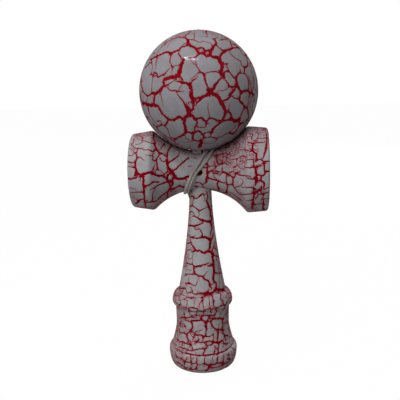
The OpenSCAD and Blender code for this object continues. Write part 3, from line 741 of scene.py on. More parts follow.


# Where the lacquer has cracked: each route has its widths in pixels at its start and its end, and places
# that it passes, read in the photograph. HANDLE is the stem, and BASE the base with a few more of
# the stem

BALL = [
    (2.0, 2.4, [(150.5, 59.3), (154, 57.6), (156, 56.2), (160.5, 54.6), (165, 52.6), (167, 52.1),
                (171, 53.4)]),
    (2.4, 1.8, [(171, 53.4), (173, 52.4), (177, 50.5), (179, 50), (181.3, 47.2), (185, 46.3), (188, 44.6)]),
    (2.4, 1.6, [(188, 44.8), (187.7, 43), (188.3, 41.5), (186.4, 38.7), (184.8, 37.5), (181, 37.5),
                (179.3, 37.4)]),
    (1.2, 0.8, [(179.3, 37.4), (175.8, 38), (172, 39.4), (166.5, 43.2), (160.5, 48.4), (157.6, 53),
                (156.8, 55.5)]),
    (0.8, 0.6, [(175, 38.5), (171.5, 41.6), (168.6, 44.5), (167.6, 47)]),
    (1.4, 0.9, [(188.2, 40), (190.2, 39.5), (194.2, 40), (197.6, 41.5), (199.6, 42.4), (201.5, 42.2)]),
    (0.8, 0.8, [(201.5, 42.2), (203.4, 41.2), (206, 41.9), (211, 43.6), (212.4, 45.4)]),
    (2.6, 2.2, [(188, 44.6), (192, 46.4), (195.2, 48), (196.2, 49.4), (197.2, 51), (199, 52.8)]),
    (2.0, 2.4, [(195.2, 47.8), (197.5, 48.6), (201, 47.8), (202.8, 48.1), (204.5, 49.7), (207, 50.8),
                (212, 49.6)]),
    (1.2, 2.4, [(189, 57.9), (194.5, 57), (196, 56.8), (198.5, 54.2), (200, 53.5), (203.8, 53.6),
                (205.2, 55)]),
    (2.4, 2.0, [(205.2, 55), (206.5, 56.2), (208.2, 56), (209.8, 55)]),
    (1.6, 1.6, [(204.4, 50.4), (204, 52), (204.2, 53.6)]),
    (2.2, 2.8, [(210, 50.8), (210.3, 52.8), (210.2, 54.6), (213.4, 57.2), (217.4, 57.4)]),
    (3.0, 3.6, [(216.5, 57.6), (218.4, 58), (220, 61.4), (222.3, 64.6)]),
    (3.0, 2.6, [(222.3, 64.2), (222.1, 67), (221.7, 69.6), (221.1, 74.2), (223.6, 76.8)]),
    (2.6, 1.6, [(212, 49.8), (213.5, 46.8), (215.6, 44.6), (216.3, 43.2), (215.3, 40), (214.6, 38.6)]),
    (1.4, 1.0, [(212.8, 38.6), (214.6, 38.4), (218, 37.8)]),
    (1.4, 1.6, [(215.8, 45), (219, 47.6), (222.2, 50), (223.6, 51)]),
    (1.8, 2.2, [(220.2, 56.6), (221.6, 54), (223.5, 51.2), (225, 50.3), (229, 49.6)]),
    (2.2, 1.2, [(229, 49.6), (233, 48.2), (237, 47.8), (239.5, 48.6)]),
    (1.6, 1.4, [(222.5, 53), (224.5, 52.6), (226.5, 51.2)]),
    (1.4, 1.3, [(221, 40.4), (224, 39.2), (228, 40.4), (230, 41.5), (231.8, 45.5), (233, 47.6)]),
    (1.2, 1.6, [(230.5, 53.5), (233.5, 56.6), (237, 58.9), (240.4, 61), (241.8, 65), (244.6, 67.4)]),
    (1.8, 1.0, [(244.6, 67.4), (247.6, 66), (248, 64), (247.2, 59), (246.4, 55)]),
    (1.8, 1.4, [(244.8, 67.6), (244.5, 70.5), (244.4, 73), (246.5, 75), (248, 80), (248.8, 86), (249, 90)]),
    (1.0, 1.0, [(244.4, 73.2), (242.5, 73.6), (240.2, 73.2)]),
    (1.4, 2.6, [(240.5, 69.8), (240.5, 71.4), (238.2, 74.5), (236.6, 78.5), (236.8, 83.5), (237.2, 86)]),
    (1.2, 2.0, [(223.8, 71.6), (228, 71.8), (229.8, 72.2), (232, 75.2), (236.2, 79)]),
    (1.8, 0.8, [(222.5, 63.5), (224.5, 63.6), (228, 63.4)]),
    (1.2, 1.0, [(226.4, 63.8), (227, 66), (228.8, 70), (229.6, 72)]),
    (0.9, 1.4, [(204.6, 74.2), (206.8, 72.9), (211.5, 71.7), (216.5, 71.8), (220.8, 73.6)]),
    (0.6, 1.8, [(195.8, 60), (196.2, 64), (197.4, 67.3), (200.2, 71.3), (203.2, 73.4)]),
    (1.8, 1.5, [(203.2, 73.4), (204.2, 76), (205.2, 80.5), (207, 85.5), (209.5, 90)]),
    (1.2, 0.6, [(199.8, 71.6), (196.2, 74.8), (192.8, 77.2), (191.3, 78.2)]),
    (1.0, 1.8, [(197.4, 77.6), (195.2, 79.3), (192, 81.2), (191, 85.2), (191.6, 87)]),
    (1.4, 1.8, [(223.8, 73.4), (224.5, 75), (224.4, 77.5), (227, 82), (229.8, 85.8)]),
    (1.8, 2.2, [(229.8, 85.8), (231.5, 87), (233.5, 87), (237, 85.4)]),
    (1.4, 3.0, [(223.6, 77), (220.4, 79.2), (217.7, 82.5), (215, 85.5), (213.4, 89), (211.4, 91)]),
    (3.0, 3.0, [(208.6, 90), (210.4, 91.6), (212, 91.8)]),
    (3.4, 2.4, [(210.6, 91.8), (208.5, 93.6), (206.5, 95.5), (202.5, 96.8), (200.5, 97.8)]),
    (2.0, 2.0, [(200.5, 97.8), (198.5, 97.6), (196.5, 98.6), (195, 99.4), (193.2, 98.6)]),
    (2.2, 1.2, [(201.6, 98.2), (200.4, 100.2), (198.6, 101.6), (197, 102.4), (196.4, 104.6)]),
    (3.0, 3.4, [(211.4, 92), (213.2, 94), (217, 96), (219.6, 99.2), (221.6, 103)]),
    (3.4, 2.2, [(221.6, 103), (223.6, 106.8), (225.3, 111.2), (225.4, 113.5), (223.5, 118.3),
                (222.4, 120.2)]),
    (1.6, 2.4, [(222.4, 101.6), (226, 100), (228, 99), (230.4, 95.6), (231.4, 93.4)]),
    (2.4, 1.6, [(231.4, 93.4), (233, 91.6), (235, 89.4), (236, 87)]),
    (1.4, 1.2, [(230, 94.6), (228.8, 95)]),
    (0.6, 1.0, [(219, 90.5), (223.5, 90.6), (227, 88.7), (229.4, 87.2)]),
    (2.6, 2.2, [(236.8, 84.5), (239, 88.5), (241, 92.2), (240.4, 95.4), (239.5, 99.4), (240.6, 102.3)]),
    (2.2, 2.0, [(240.6, 102.3), (242.2, 103), (244.6, 106.4), (247.2, 107.8)]),
    (1.2, 1.4, [(232, 96.6), (235.4, 98.4), (239.2, 99.3)]),
    (2.2, 1.8, [(241, 92), (245, 91), (247.4, 90.8), (250.8, 93.2), (254, 95)]),
    (1.2, 1.2, [(249.4, 92), (248.9, 98), (248.3, 105), (247.5, 107.5)]),
    (1.8, 1.4, [(247.2, 107.6), (248, 112), (249, 117), (246, 121), (242, 123.4)]),
    (1.8, 1.8, [(245, 107), (242.8, 111.4), (240.4, 116.5), (239.2, 119.2)]),
    (1.6, 2.0, [(225.2, 112.4), (228.4, 110.8), (230.6, 113.5), (231.4, 116.8), (233, 120)]),
    (0.8, 0.5, [(228.4, 110.6), (228.8, 108), (229.8, 104.6)]),
    (2.0, 2.6, [(222.4, 120.6), (224.6, 120.8), (229.5, 119.8), (234, 120.6), (238.2, 120), (239.6, 119)]),
    (1.6, 1.6, [(233, 121.4), (235, 122.4), (239, 121.6), (241, 123.5), (243, 122.8)]),
    (1.6, 2.6, [(239.2, 122.4), (239.4, 125), (236.8, 130), (234, 133.6)]),
    (1.2, 1.0, [(237, 125), (233, 129.2), (230, 132.8)]),
    (2.0, 2.4, [(222.4, 120.4), (220, 123.4), (216.4, 125.8), (212.8, 129.6), (212.2, 132), (211.4, 133.6)]),
    (2.0, 1.8, [(222, 121), (218, 120.8), (214, 119), (210.2, 118.2), (207.4, 120.6), (205.6, 121.2)]),
    (1.8, 2.0, [(205.6, 121.2), (204, 120.4), (201.6, 118), (198, 118.6), (194.4, 118.4)]),
    (0.9, 0.5, [(210, 117.8), (208.8, 113), (208, 108), (208.2, 103)]),
    (1.5, 1.2, [(205.6, 121.2), (206.2, 123.6), (205.4, 127.2), (201.5, 127.4), (198, 127.6)]),
    (1.0, 0.8, [(206.4, 123.2), (208.4, 122.8)]),
    (1.8, 1.6, [(196.3, 119), (197, 123), (196.6, 125), (194.4, 128), (195.2, 129.8), (193.6, 133)]),
    (1.8, 1.4, [(202.4, 134.2), (204.6, 133.4), (208.6, 132.2), (210.6, 133.2)]),
    (1.2, 0.8, [(211.4, 133), (210.8, 134.8), (210.8, 137)]),
    (2.0, 2.0, [(193.6, 133.4), (197, 131.4), (199, 131.4), (202, 134), (203.8, 137), (203, 139),
                (199.6, 140.8)]),
    (2.0, 1.6, [(199.6, 140.8), (197.6, 141), (193.6, 140), (192.9, 137), (193.2, 134)]),
    (2.6, 3.2, [(201, 141), (201.4, 143), (200.2, 145), (199.5, 147.6)]),
    (1.2, 1.6, [(203.8, 137.5), (206, 137.6), (211, 137.4), (214, 137.6), (216.6, 139)]),
    (1.2, 1.6, [(216.6, 138.6), (218, 137.4), (222, 136.5), (226, 134.2), (229.4, 132.6)]),
    (1.6, 2.2, [(229.4, 132.6), (231.2, 133.8), (234, 133.6)]),
    (0.8, 0.8, [(216.4, 138.5), (215.6, 141.4), (213, 143), (207.5, 143.4), (202.5, 143.2)]),
    (2.6, 2.4, [(184.6, 118.8), (184.3, 124), (185.8, 129.5), (186.6, 131.6), (190, 132.6), (193.6, 133.6)]),
    (2.6, 2.2, [(188.6, 115.6), (187, 115.4), (184.4, 118), (182.6, 118.6), (180.6, 117.4), (179, 117)]),
    (2.6, 2.2, [(179, 117), (175.8, 119), (173, 120.3), (168.6, 119.2)]),
    (2.8, 3.2, [(188.4, 108.8), (188.6, 112), (188.6, 115.4)]),
    (2.2, 2.0, [(189.2, 113), (191.2, 110.8), (193.2, 108.6), (193.4, 105.4)]),
    (2.4, 2.0, [(193.4, 105.4), (192.8, 102), (193.4, 99.6)]),
    (2.4, 1.8, [(188.8, 115.4), (192.4, 116), (194.2, 119.4), (196, 120.4)]),
    (2.4, 2.4, [(189.6, 85.6), (191, 88), (191.8, 91.5), (192, 95), (193, 99.4)]),
    (1.8, 1.6, [(193, 99.4), (191, 97.8), (190, 96), (190.4, 93)]),
    (1.6, 1.2, [(193.6, 99.6), (195.5, 101.4), (196.6, 103.4)]),
    (1.4, 1.0, [(187.6, 108.6), (187.8, 105), (188.6, 102.6), (190, 101.8), (192, 102)]),
    (2.2, 1.4, [(187.6, 110), (185.4, 106), (183.8, 102.2), (181, 98.8)]),
    (1.4, 0.8, [(181, 98.8), (178.2, 95.6), (176.4, 92.4), (175.8, 90.8)]),
    (1.2, 1.4, [(167.2, 87.8), (170.4, 90.3), (172, 90.9), (175.6, 90.4), (177, 91.4)]),
    (1.4, 0.6, [(177, 91.4), (180, 91.4), (183.4, 91.3)]),
    (0.7, 0.8, [(178.8, 88.4), (180.4, 87), (181.8, 86.2)]),
    (3.0, 2.4, [(160.6, 89.4), (159.4, 91), (155.5, 93.6), (153.6, 93.4), (151.6, 92.8)]),
    (1.6, 1.8, [(151.6, 92.8), (150.5, 94.6), (147.6, 96), (144.6, 93.6), (142.4, 90.4)]),
    (2.4, 2.0, [(154.8, 94), (154.2, 98), (153.8, 101.5), (153.8, 104.4)]),
    (2.4, 3.4, [(142.2, 103.8), (144.4, 103.6), (148.5, 104.6), (150.5, 105.4)]),
    (3.2, 2.4, [(150.5, 105.4), (154.5, 105.4), (157.6, 106.2), (159, 108.6), (162.2, 113.8)]),
    (2.4, 2.0, [(162.2, 113.8), (165.2, 116.6), (168.6, 119.2)]),
    (1.8, 1.0, [(147.4, 106), (148.6, 110.5), (149.8, 115), (152.4, 118.8), (156.6, 124.2)]),
    (1.2, 0.5, [(160.6, 93.4), (161.2, 97), (162.4, 102), (163, 105.5)]),
    (0.8, 0.7, [(147.5, 96.5), (147.4, 98.5), (147.2, 102)]),
    (1.3, 0.9, [(140.4, 93.5), (140.6, 96), (142, 102.5)]),
    (1.8, 1.4, [(168.6, 119.6), (167.4, 122), (165, 125.2), (161.2, 125.2), (158.4, 126.2), (156.8, 127.4)]),
    (1.3, 0.8, [(164.6, 125.8), (167.4, 129), (169, 133.4), (170, 136)]),
    (1.4, 1.6, [(157, 127.5), (158.4, 130.4), (162, 134), (164.6, 135.3)]),
    (1.6, 1.4, [(164.6, 135.3), (169, 138), (173, 140.4), (178, 145.4)]),
    (1.4, 2.4, [(171.6, 137.4), (173.8, 138.4), (177.4, 138), (180.8, 136.4), (185.6, 133)]),
    (2.4, 1.6, [(175.4, 138.8), (174.4, 140.8)]),
    (0.9, 1.4, [(184.4, 134.6), (186.2, 138.4), (190, 140.4), (193.6, 140.2)]),
    (0.7, 0.7, [(185, 142.4), (190, 142.2), (192.2, 142)]),
    (1.6, 0.8, [(157.2, 121.5), (159, 120.9), (160.8, 121.4), (161.2, 125)]),
    (0.9, 0.8, [(151.6, 122), (153.4, 124.6), (156.4, 128)]),
    (1.6, 3.0, [(177.8, 81.2), (182.4, 82.6), (187, 83.3), (189.8, 86), (190.8, 88)]),
    (1.8, 1.0, [(179.4, 76.6), (181.2, 77.6), (183.2, 80.4)]),
    (2.4, 3.8, [(183.4, 60.4), (181.6, 64.6), (180.2, 69.6), (179.2, 74.4)]),
    (4.0, 3.0, [(179, 74.8), (175, 76.8), (170, 77.3), (166, 78.8), (164.2, 79.6)]),
    (2.2, 3.0, [(164, 79.6), (163.4, 81.4), (164, 85.2), (162.6, 87.2), (160, 90.6)]),
    (1.6, 0.6, [(164.4, 85.6), (166.2, 85.6), (169.8, 83.3), (173.6, 81.2), (175, 79.9)]),
    (1.6, 1.5, [(154.4, 72), (157.2, 74.4), (156.6, 76), (158.2, 77), (161.4, 75.4), (164.4, 75)]),
    (1.6, 0.7, [(162.6, 75), (166, 72.2), (169, 69), (169.6, 67.4)]),
    (1.7, 1.0, [(150, 75), (151.4, 74.2), (154.4, 76), (156.4, 76.4)]),
    (0.9, 0.9, [(151.6, 62.4), (152.3, 67), (151.6, 74), (152.4, 78), (151.6, 88), (151.4, 92)]),
    (1.6, 1.4, [(145.2, 67.6), (148.4, 64.6), (149.8, 63), (151.8, 62.2), (151.2, 59.4)]),
    (1.5, 1.7, [(142.4, 71.5), (141.2, 77), (141, 83), (142.4, 90.5)]),
    (2.0, 0.7, [(156.6, 56.5), (156.8, 59), (156, 64), (155.6, 68)]),
    (2.0, 1.0, [(171, 53.6), (170.4, 57.4), (169.8, 61.4)]),
    (1.0, 1.5, [(169.8, 61.4), (171.2, 64.6), (172.3, 67.8)]),
    (1.3, 0.6, [(172.3, 67.8), (172.2, 70), (171.6, 72)]),
    (0.8, 0.8, [(172.2, 66.4), (176.4, 65.5), (179.4, 65.8)]),
    (1.4, 1.2, [(178.2, 53), (180.2, 56.4), (182.6, 60.4)]),
    (0.8, 0.8, [(181.6, 45.6), (185.6, 43.2), (187.4, 42.8)]),
    (1.2, 1.4, [(185.6, 36.8), (186, 35.2), (189, 33), (190.6, 31.6)]),
    (0.8, 0.6, [(194, 33), (194.5, 36), (194.2, 39.6)]),
    (0.6, 0.6, [(202.6, 31.5), (206, 33), (208, 37)]),
    (0.5, 0.6, [(200, 36), (203, 36.4), (206.4, 37)]),
    (0.7, 0.6, [(216, 33), (220, 34), (224, 36), (226, 38.6)]),
    (0.7, 1.0, [(250, 65), (252, 70), (254, 78), (253.6, 86), (251.8, 93)]),
    (1.0, 0.7, [(254, 95.6), (254, 99), (252.4, 107)]),
    (0.5, 0.6, [(191, 60.4), (192, 62.4), (193.8, 64.4)]),
    (0.9, 1.2, [(248.6, 76), (249.6, 80), (250.6, 85), (251.8, 90), (253, 94)]),
    (1.3, 0.8, [(252.6, 95.4), (251.4, 99), (250.9, 104), (250.2, 109)]),
    (0.8, 0.6, [(254, 95.2), (254, 100), (252.8, 106), (251, 112)]),
    (0.7, 0.6, [(250.6, 70), (252.4, 76), (253.6, 82), (254, 88)]),
]
CROSS = [
    (1.6, 2.4, [(154.6, 132.6), (153.4, 138), (155.2, 142), (154.8, 144.4), (157, 149.6), (159.6, 152.8)]),
    (2.0, 1.4, [(159.6, 152.8), (162.5, 153.6), (164, 154.2), (164.8, 155.8), (167, 156.4)]),
    (1.4, 1.6, [(160, 153.4), (158, 157), (156.5, 160.4), (157.2, 165.4), (158.6, 170)]),
    (1.7, 1.5, [(152.6, 159.2), (154, 160.4), (156.5, 160.4)]),
    (0.8, 1.5, [(142.4, 140.2), (146.4, 141.4), (150.4, 142.8), (154.6, 144)]),
    (1.0, 1.2, [(135, 148), (137.5, 148.6), (143, 148.4)]),
    (0.8, 2.0, [(142.8, 150), (147.5, 149.6), (151.4, 151), (153, 151.6), (156.6, 149.4)]),
    (1.2, 1.0, [(153, 151.8), (153, 155), (152.6, 159)]),
    (0.6, 1.3, [(146, 155), (150.4, 155.6), (152.8, 155.8)]),
    (1.0, 1.1, [(131.4, 144.4), (132.6, 146), (135.4, 148.2)]),
    (0.8, 0.8, [(131.4, 143.8), (133.6, 142), (133.6, 138.6)]),
    (1.1, 0.9, [(134.4, 152.8), (136.4, 152.2), (138, 149)]),
    (1.2, 1.7, [(135.4, 152.8), (136.8, 156.4), (136, 160.6), (135.3, 165)]),
    (1.7, 2.3, [(135.3, 165), (135.6, 168), (136.6, 173.6)]),
    (1.1, 0.7, [(136.8, 157.2), (140.4, 157.3), (142.8, 159.6), (144.4, 160.4)]),
    (1.4, 1.2, [(128.6, 162), (132.4, 162.9), (135.4, 162.4)]),
    (1.0, 1.2, [(128.6, 166.6), (132.8, 167.4), (135.2, 167.2)]),
    (0.9, 0.9, [(129.4, 155.6), (132.4, 155.2), (134.8, 153.2)]),
    (1.8, 1.2, [(128.8, 178.6), (130.6, 179), (135, 178.4), (136.6, 177.4)]),
    (2.0, 2.4, [(134.8, 175.6), (136.4, 174), (138.2, 173.6), (141, 175.6), (143, 175)]),
    (2.2, 2.2, [(143, 175), (144.2, 173.8), (148.2, 172.8), (150, 172.6), (153.4, 174)]),
    (2.0, 2.0, [(153.4, 174), (157.2, 175.4), (161, 176), (163.2, 175.6)]),
    (1.8, 1.2, [(163, 175.8), (164.2, 177.4), (166, 178.6)]),
    (1.8, 1.0, [(163.4, 175.2), (166.6, 172.8), (167.8, 171.4), (167.4, 169)]),
    (1.2, 1.7, [(151.8, 173), (152.4, 170.8), (153.4, 168.8)]),
    (1.6, 0.7, [(153.4, 168.8), (154.2, 166.8), (155.4, 165.2)]),
    (1.1, 0.7, [(155.6, 172), (156.8, 170), (160.4, 170.6), (162, 171.8)]),
    (1.5, 1.8, [(171.4, 146), (168.6, 150), (167.4, 154.4), (167.2, 159.6)]),
    (1.8, 2.6, [(167.2, 159.6), (167.2, 164.4), (170.2, 169.6), (172.4, 172.6), (174.6, 176.2)]),
    (1.7, 0.8, [(164.6, 143.4), (162, 147), (160.8, 149.6)]),
    (1.0, 1.7, [(179, 150.5), (178.6, 155.2), (175, 158.3), (171.2, 161.2), (168, 163.4)]),
    (1.7, 1.4, [(188.2, 158.2), (184.4, 161), (179.2, 165.8), (176, 169), (172.8, 171.6)]),
    (0.9, 1.2, [(160.6, 158), (162.2, 161.2), (166.6, 161.2)]),
    (2.6, 2.0, [(174.4, 176), (175.4, 177.6), (178.6, 179), (182.2, 178.8), (185.6, 178.2)]),
    (2.0, 1.6, [(185.6, 178.2), (187, 177), (188.8, 177.2)]),
    (1.2, 0.8, [(185.6, 178.6), (186.4, 180), (187.8, 181)]),
    (1.2, 1.2, [(184.6, 177.4), (186.4, 176.2), (188.4, 176)]),
    (1.8, 2.2, [(173.8, 176), (172.4, 180), (172.8, 184), (170.8, 187), (170, 190)]),
    (1.7, 2.4, [(167.4, 175.6), (167.6, 178), (167.4, 180.4), (170.2, 181.6), (172.4, 182)]),
    (2.2, 1.5, [(168, 181.2), (164.2, 183), (160, 184.6), (156.4, 186.6), (154.8, 188.2)]),
    (1.0, 1.1, [(168.6, 172), (169.8, 173.6), (168.6, 175.2)]),
    (1.1, 1.0, [(168.4, 182.6), (169.2, 184.4), (170, 187)]),
    (2.0, 1.4, [(144, 186.6), (148, 185.6), (151.6, 183.4), (153.4, 182.2), (158.8, 182.2)]),
    (1.7, 2.2, [(142.8, 176), (143.6, 181), (143.4, 185), (144, 188.4), (143.8, 193)]),
    (2.2, 1.6, [(143.8, 193), (144.4, 195.6), (144.8, 198)]),
    (0.8, 0.6, [(130.4, 188), (134.6, 188.8), (136.6, 189.6)]),
    (0.8, 1.5, [(130.8, 192.8), (135.4, 192.4), (140.4, 192.2), (143.4, 192.4)]),
    (0.7, 0.7, [(131.4, 197.2), (134, 197.6), (137, 199.8)]),
    (0.7, 0.7, [(139.6, 181), (140.6, 179.4), (140, 177.2)]),
    (2.2, 1.2, [(136.4, 203.6), (138, 202.2), (138.6, 200.6), (142.4, 199.6), (146.6, 200.6)]),
    (1.2, 1.4, [(144.8, 197.4), (144.7, 202), (145.6, 207)]),
    (1.7, 2.0, [(146, 202.6), (152.4, 201.9), (156.4, 200.6), (159.8, 197.6), (163.4, 194.6)]),
    (2.0, 2.0, [(163.4, 194.6), (167, 192.2), (170.2, 189.2)]),
    (0.8, 1.2, [(150.4, 189.6), (152.4, 188.6), (155, 188)]),
    (1.1, 1.4, [(154.8, 188.4), (154, 191.4), (152.4, 195.4), (152.8, 199.6), (153, 201.8)]),
    (1.6, 2.0, [(170.4, 188.8), (174.4, 188.2), (178.4, 186.4), (180.4, 186), (184.4, 187.8)]),
    (1.4, 1.8, [(170.8, 192.2), (172.6, 190.6), (175.4, 188.2)]),
    (1.2, 1.4, [(167.4, 192.4), (167.8, 194.4), (167.4, 197)]),
    (0.8, 0.7, [(188.4, 166.4), (192, 166.2)]),
    (0.8, 0.8, [(137, 134.5), (139.6, 136), (142.6, 138), (141.8, 140.4), (141.4, 143), (136.4, 144.6)]),
    (0.6, 0.7, [(146, 136.4), (149, 135.4), (153, 135.4)]),
    (0.6, 0.7, [(128.6, 148.5), (131, 149), (134.6, 152.4)]),
    (1.4, 1.8, [(207.6, 163.6), (207.8, 166.4), (206.8, 171), (207.6, 175.6)]),
    (1.8, 2.0, [(207.6, 175.6), (207, 178), (206, 182.2)]),
    (1.3, 0.9, [(206, 182.4), (203.6, 184.6), (202, 185.6), (201.4, 183.6)]),
    (1.2, 1.2, [(195.4, 183.4), (196.4, 182.5), (200, 182.6), (201.6, 183)]),
    (1.7, 1.5, [(207.6, 177.2), (211.4, 179.2), (215, 180), (218.8, 181.2)]),
    (1.8, 1.3, [(218.8, 181.2), (222.6, 182.8), (224.8, 183.4)]),
    (1.4, 1.9, [(218.2, 180.8), (217.2, 184.4), (218.8, 188.2), (218.6, 190.6)]),
    (1.8, 1.4, [(207.2, 171.6), (209, 171.8), (212.4, 170.8)]),
    (1.3, 1.6, [(212.6, 170.6), (213.4, 173.5), (215, 173.4), (217, 173.6)]),
    (0.8, 0.7, [(213.6, 174), (213.8, 176.4), (217.4, 179.8)]),
    (1.4, 1.2, [(201.2, 165.8), (204.8, 167.8), (207, 167)]),
    (1.1, 0.8, [(204.4, 164.2), (206.6, 164.4), (210.4, 166.4), (212.2, 166.2)]),
    (0.8, 0.8, [(213.4, 162), (214.8, 165.6), (214.6, 169)]),
    (1.3, 1.6, [(216.2, 156), (216.7, 160), (218.6, 164), (222.4, 164)]),
    (1.6, 1.0, [(222.4, 164), (224, 162.8), (227.8, 164.6)]),
    (1.0, 0.9, [(218.4, 164.4), (216, 167.4), (214.8, 169.4)]),
    (1.6, 1.0, [(216, 170.6), (218, 171.4), (220, 171.6)]),
    (1.2, 1.7, [(222, 167.6), (222.4, 170), (223, 172.4)]),
    (1.0, 2.0, [(219.6, 175.6), (222, 172.8), (223.8, 172.2), (227.2, 174)]),
    (2.0, 1.4, [(227.2, 174), (229, 175.2), (233, 177.4)]),
    (0.9, 1.2, [(226, 174.2), (226.2, 177), (226.6, 182), (227.3, 185)]),
    (1.4, 1.9, [(227.3, 185), (227.2, 188.6), (226.6, 191), (227.4, 192.8)]),
    (1.4, 1.4, [(226.8, 184.6), (229, 184.4), (230.6, 185), (232.6, 184.2)]),
    (1.2, 1.0, [(227, 191.8), (225, 192.8), (223.6, 193.4)]),
    (1.6, 1.4, [(233, 177.6), (232.8, 182.4), (233.4, 186.6), (235.8, 190.2)]),
    (1.4, 0.9, [(235.8, 190.2), (238.4, 193.4), (240.4, 194.6)]),
    (0.8, 1.8, [(227.6, 191.4), (232, 193.2), (235.6, 196), (237.8, 197.6)]),
    (1.8, 0.8, [(237.8, 197.6), (240.4, 199.6), (243, 201)]),
    (1.2, 1.1, [(229.2, 172.4), (231.6, 172.2), (233.4, 171.4), (234.6, 172.8)]),
    (1.7, 1.0, [(233.2, 167.5), (236, 166.4), (237, 164.2)]),
    (1.0, 0.9, [(237.4, 164.2), (239.4, 167.6), (243.8, 169.4)]),
    (2.0, 1.1, [(235.2, 174.8), (236.6, 173.2), (239.6, 171.6)]),
    (1.3, 1.2, [(235.2, 174.6), (235, 176.6), (233.4, 178)]),
    (1.5, 1.0, [(237.2, 174), (239, 175), (243.4, 175.6), (248, 176), (250.6, 176.6)]),
    (1.1, 0.9, [(216.4, 155.2), (221, 154.8), (225, 153.4), (228, 154.6)]),
    (0.8, 0.7, [(222, 151.6), (222.6, 154.5), (222.6, 158), (222.4, 164)]),
    (0.9, 1.2, [(223.4, 157), (226, 157), (231.4, 159.4), (237, 158.6), (242, 156.2), (245, 156.6)]),
    (0.8, 0.7, [(229, 155), (233, 155.6), (238.4, 153.2)]),
    (0.8, 0.7, [(226, 158), (226.4, 161), (230, 162.6), (230.2, 165.4)]),
    (0.9, 0.8, [(240.2, 158), (240.4, 161.5), (244, 162.6)]),
    (0.8, 0.9, [(236.4, 159.4), (237, 164.4)]),
    (0.7, 0.8, [(218.2, 158.6), (220.6, 160.4), (222.2, 162.6)]),
    (0.9, 1.4, [(240.4, 149.6), (244.8, 150), (248.8, 151), (252.8, 151.4)]),
    (1.0, 1.3, [(252, 133.6), (252.6, 136), (251.6, 139.2), (254, 140.7), (256.6, 140.2)]),
    (1.4, 1.2, [(248.2, 142.2), (252, 143.4), (258.6, 142.6), (264, 142.6)]),
    (1.5, 1.8, [(253.4, 143.4), (252.6, 146), (252.6, 149.6), (253.2, 151.4), (256.4, 153.8)]),
    (1.8, 1.9, [(256.4, 153.8), (256.4, 157), (256.6, 160)]),
    (0.8, 1.6, [(246.4, 159.6), (251, 159.5), (253, 159.8), (254, 163.6), (253.8, 166)]),
    (1.0, 1.8, [(245, 167.2), (249.6, 167.8), (254, 167), (257.4, 166.3)]),
    (1.7, 1.0, [(257.4, 166.3), (260.6, 166)]),
    (1.8, 2.4, [(255.2, 166.8), (256, 171.4), (256.6, 175.6), (256.3, 179)]),
    (2.4, 1.5, [(256.3, 179), (256.2, 181.6), (255.4, 185.6)]),
    (0.9, 1.9, [(247.6, 178.6), (253, 179), (256.3, 179.4)]),
    (1.8, 1.6, [(256.4, 180.4), (260.6, 181), (264, 182.8), (264.4, 185.6)]),
    (1.6, 1.2, [(264.4, 185.6), (263.6, 188), (264.4, 189.4), (268, 187.6)]),
    (1.0, 2.0, [(266.8, 134), (266.8, 139), (266.6, 144), (266.2, 148)]),
    (2.0, 1.2, [(266.2, 148), (265.2, 152), (263.2, 157.8)]),
    (0.9, 1.7, [(257.4, 159.2), (261.4, 159.8), (264, 162.2)]),
    (1.7, 1.2, [(264, 162.2), (265.4, 161.6), (269.6, 161.2)]),
    (1.8, 1.4, [(264.2, 162.4), (264.5, 166), (264.6, 171.4)]),
    (1.3, 1.0, [(263.8, 162.6), (262, 164), (260.4, 166)]),
    (1.4, 1.7, [(269.8, 171), (266.6, 171.8), (264.4, 174.8), (262.4, 176)]),
    (1.7, 1.2, [(262.4, 176), (260.6, 175.6), (256.8, 174.6)]),
    (1.4, 1.3, [(261.6, 176.2), (261.2, 178.4), (261.4, 181)]),
    (0.8, 1.1, [(256.8, 138.5), (260.4, 138.2), (267, 138)]),
    (0.8, 0.8, [(266.4, 133.4), (265.2, 130), (265, 128)]),
    (0.7, 0.7, [(256.4, 131.6), (258.6, 135), (257.2, 138.4)]),
    (0.8, 1.8, [(242.4, 187.3), (247.6, 187.6), (252.4, 187.6), (254, 188.4)]),
    (1.8, 1.2, [(254, 188.4), (256.4, 189.2)]),
    (1.2, 0.7, [(234.4, 187.6), (238, 186.6), (241.6, 184.8), (243, 181), (241.4, 178.8)]),
    (1.0, 1.7, [(240, 194.6), (245, 194.5), (250, 194.2), (254.4, 192.8)]),
    (1.7, 2.2, [(254.4, 192.8), (256.4, 192.4), (259.6, 190)]),
    (1.6, 2.0, [(253.6, 189.6), (254.3, 194), (253.6, 198), (252.6, 204)]),
    (2.0, 1.6, [(252.6, 204), (252.2, 209)]),
    (0.8, 1.4, [(246.2, 200.4), (249, 200.6), (253.4, 200)]),
    (1.2, 1.2, [(260, 189.6), (262.4, 193.8), (263, 197), (261.2, 199.4)]),
    (1.2, 1.2, [(255.8, 198.2), (257.4, 197), (258, 194.6)]),
    (1.0, 1.1, [(261.4, 186.2), (261, 188.6), (260.8, 191)]),
    (1.9, 1.2, [(262.2, 194), (264.4, 193.2), (268.6, 192.2)]),
    (1.0, 2.0, [(262.8, 197), (263.6, 201), (263.4, 204.4), (263.2, 209)]),
    (1.4, 1.4, [(252.4, 204.3), (257.4, 204.2), (263, 203.8)]),
    (0.8, 0.8, [(263.6, 198.6), (268.6, 198.4)]),
    (0.9, 0.8, [(263.4, 204.6), (266.6, 204.2)]),
    (2.2, 2.6, [(196, 186.2), (200, 188.6), (201.6, 189.8), (204, 189.8)]),
    (1.8, 2.2, [(203.4, 187.6), (207.6, 189.4), (209.4, 190), (212, 189.8)]),
    (1.0, 1.4, [(191.6, 189.4), (197, 189), (200, 189.2)]),
    (1.4, 0.9, [(211, 189.8), (214, 189.9), (216.8, 190.4)]),
    (0.8, 0.8, [(192.2, 186.4), (194.6, 186.8)]),
    (0.8, 0.9, [(211, 152), (214.6, 156.4), (216.4, 158)]),
    (0.9, 0.8, [(192, 151.6), (196, 153), (200, 152)]),
    (0.8, 1.2, [(193, 157.4), (195.6, 158)]),
]
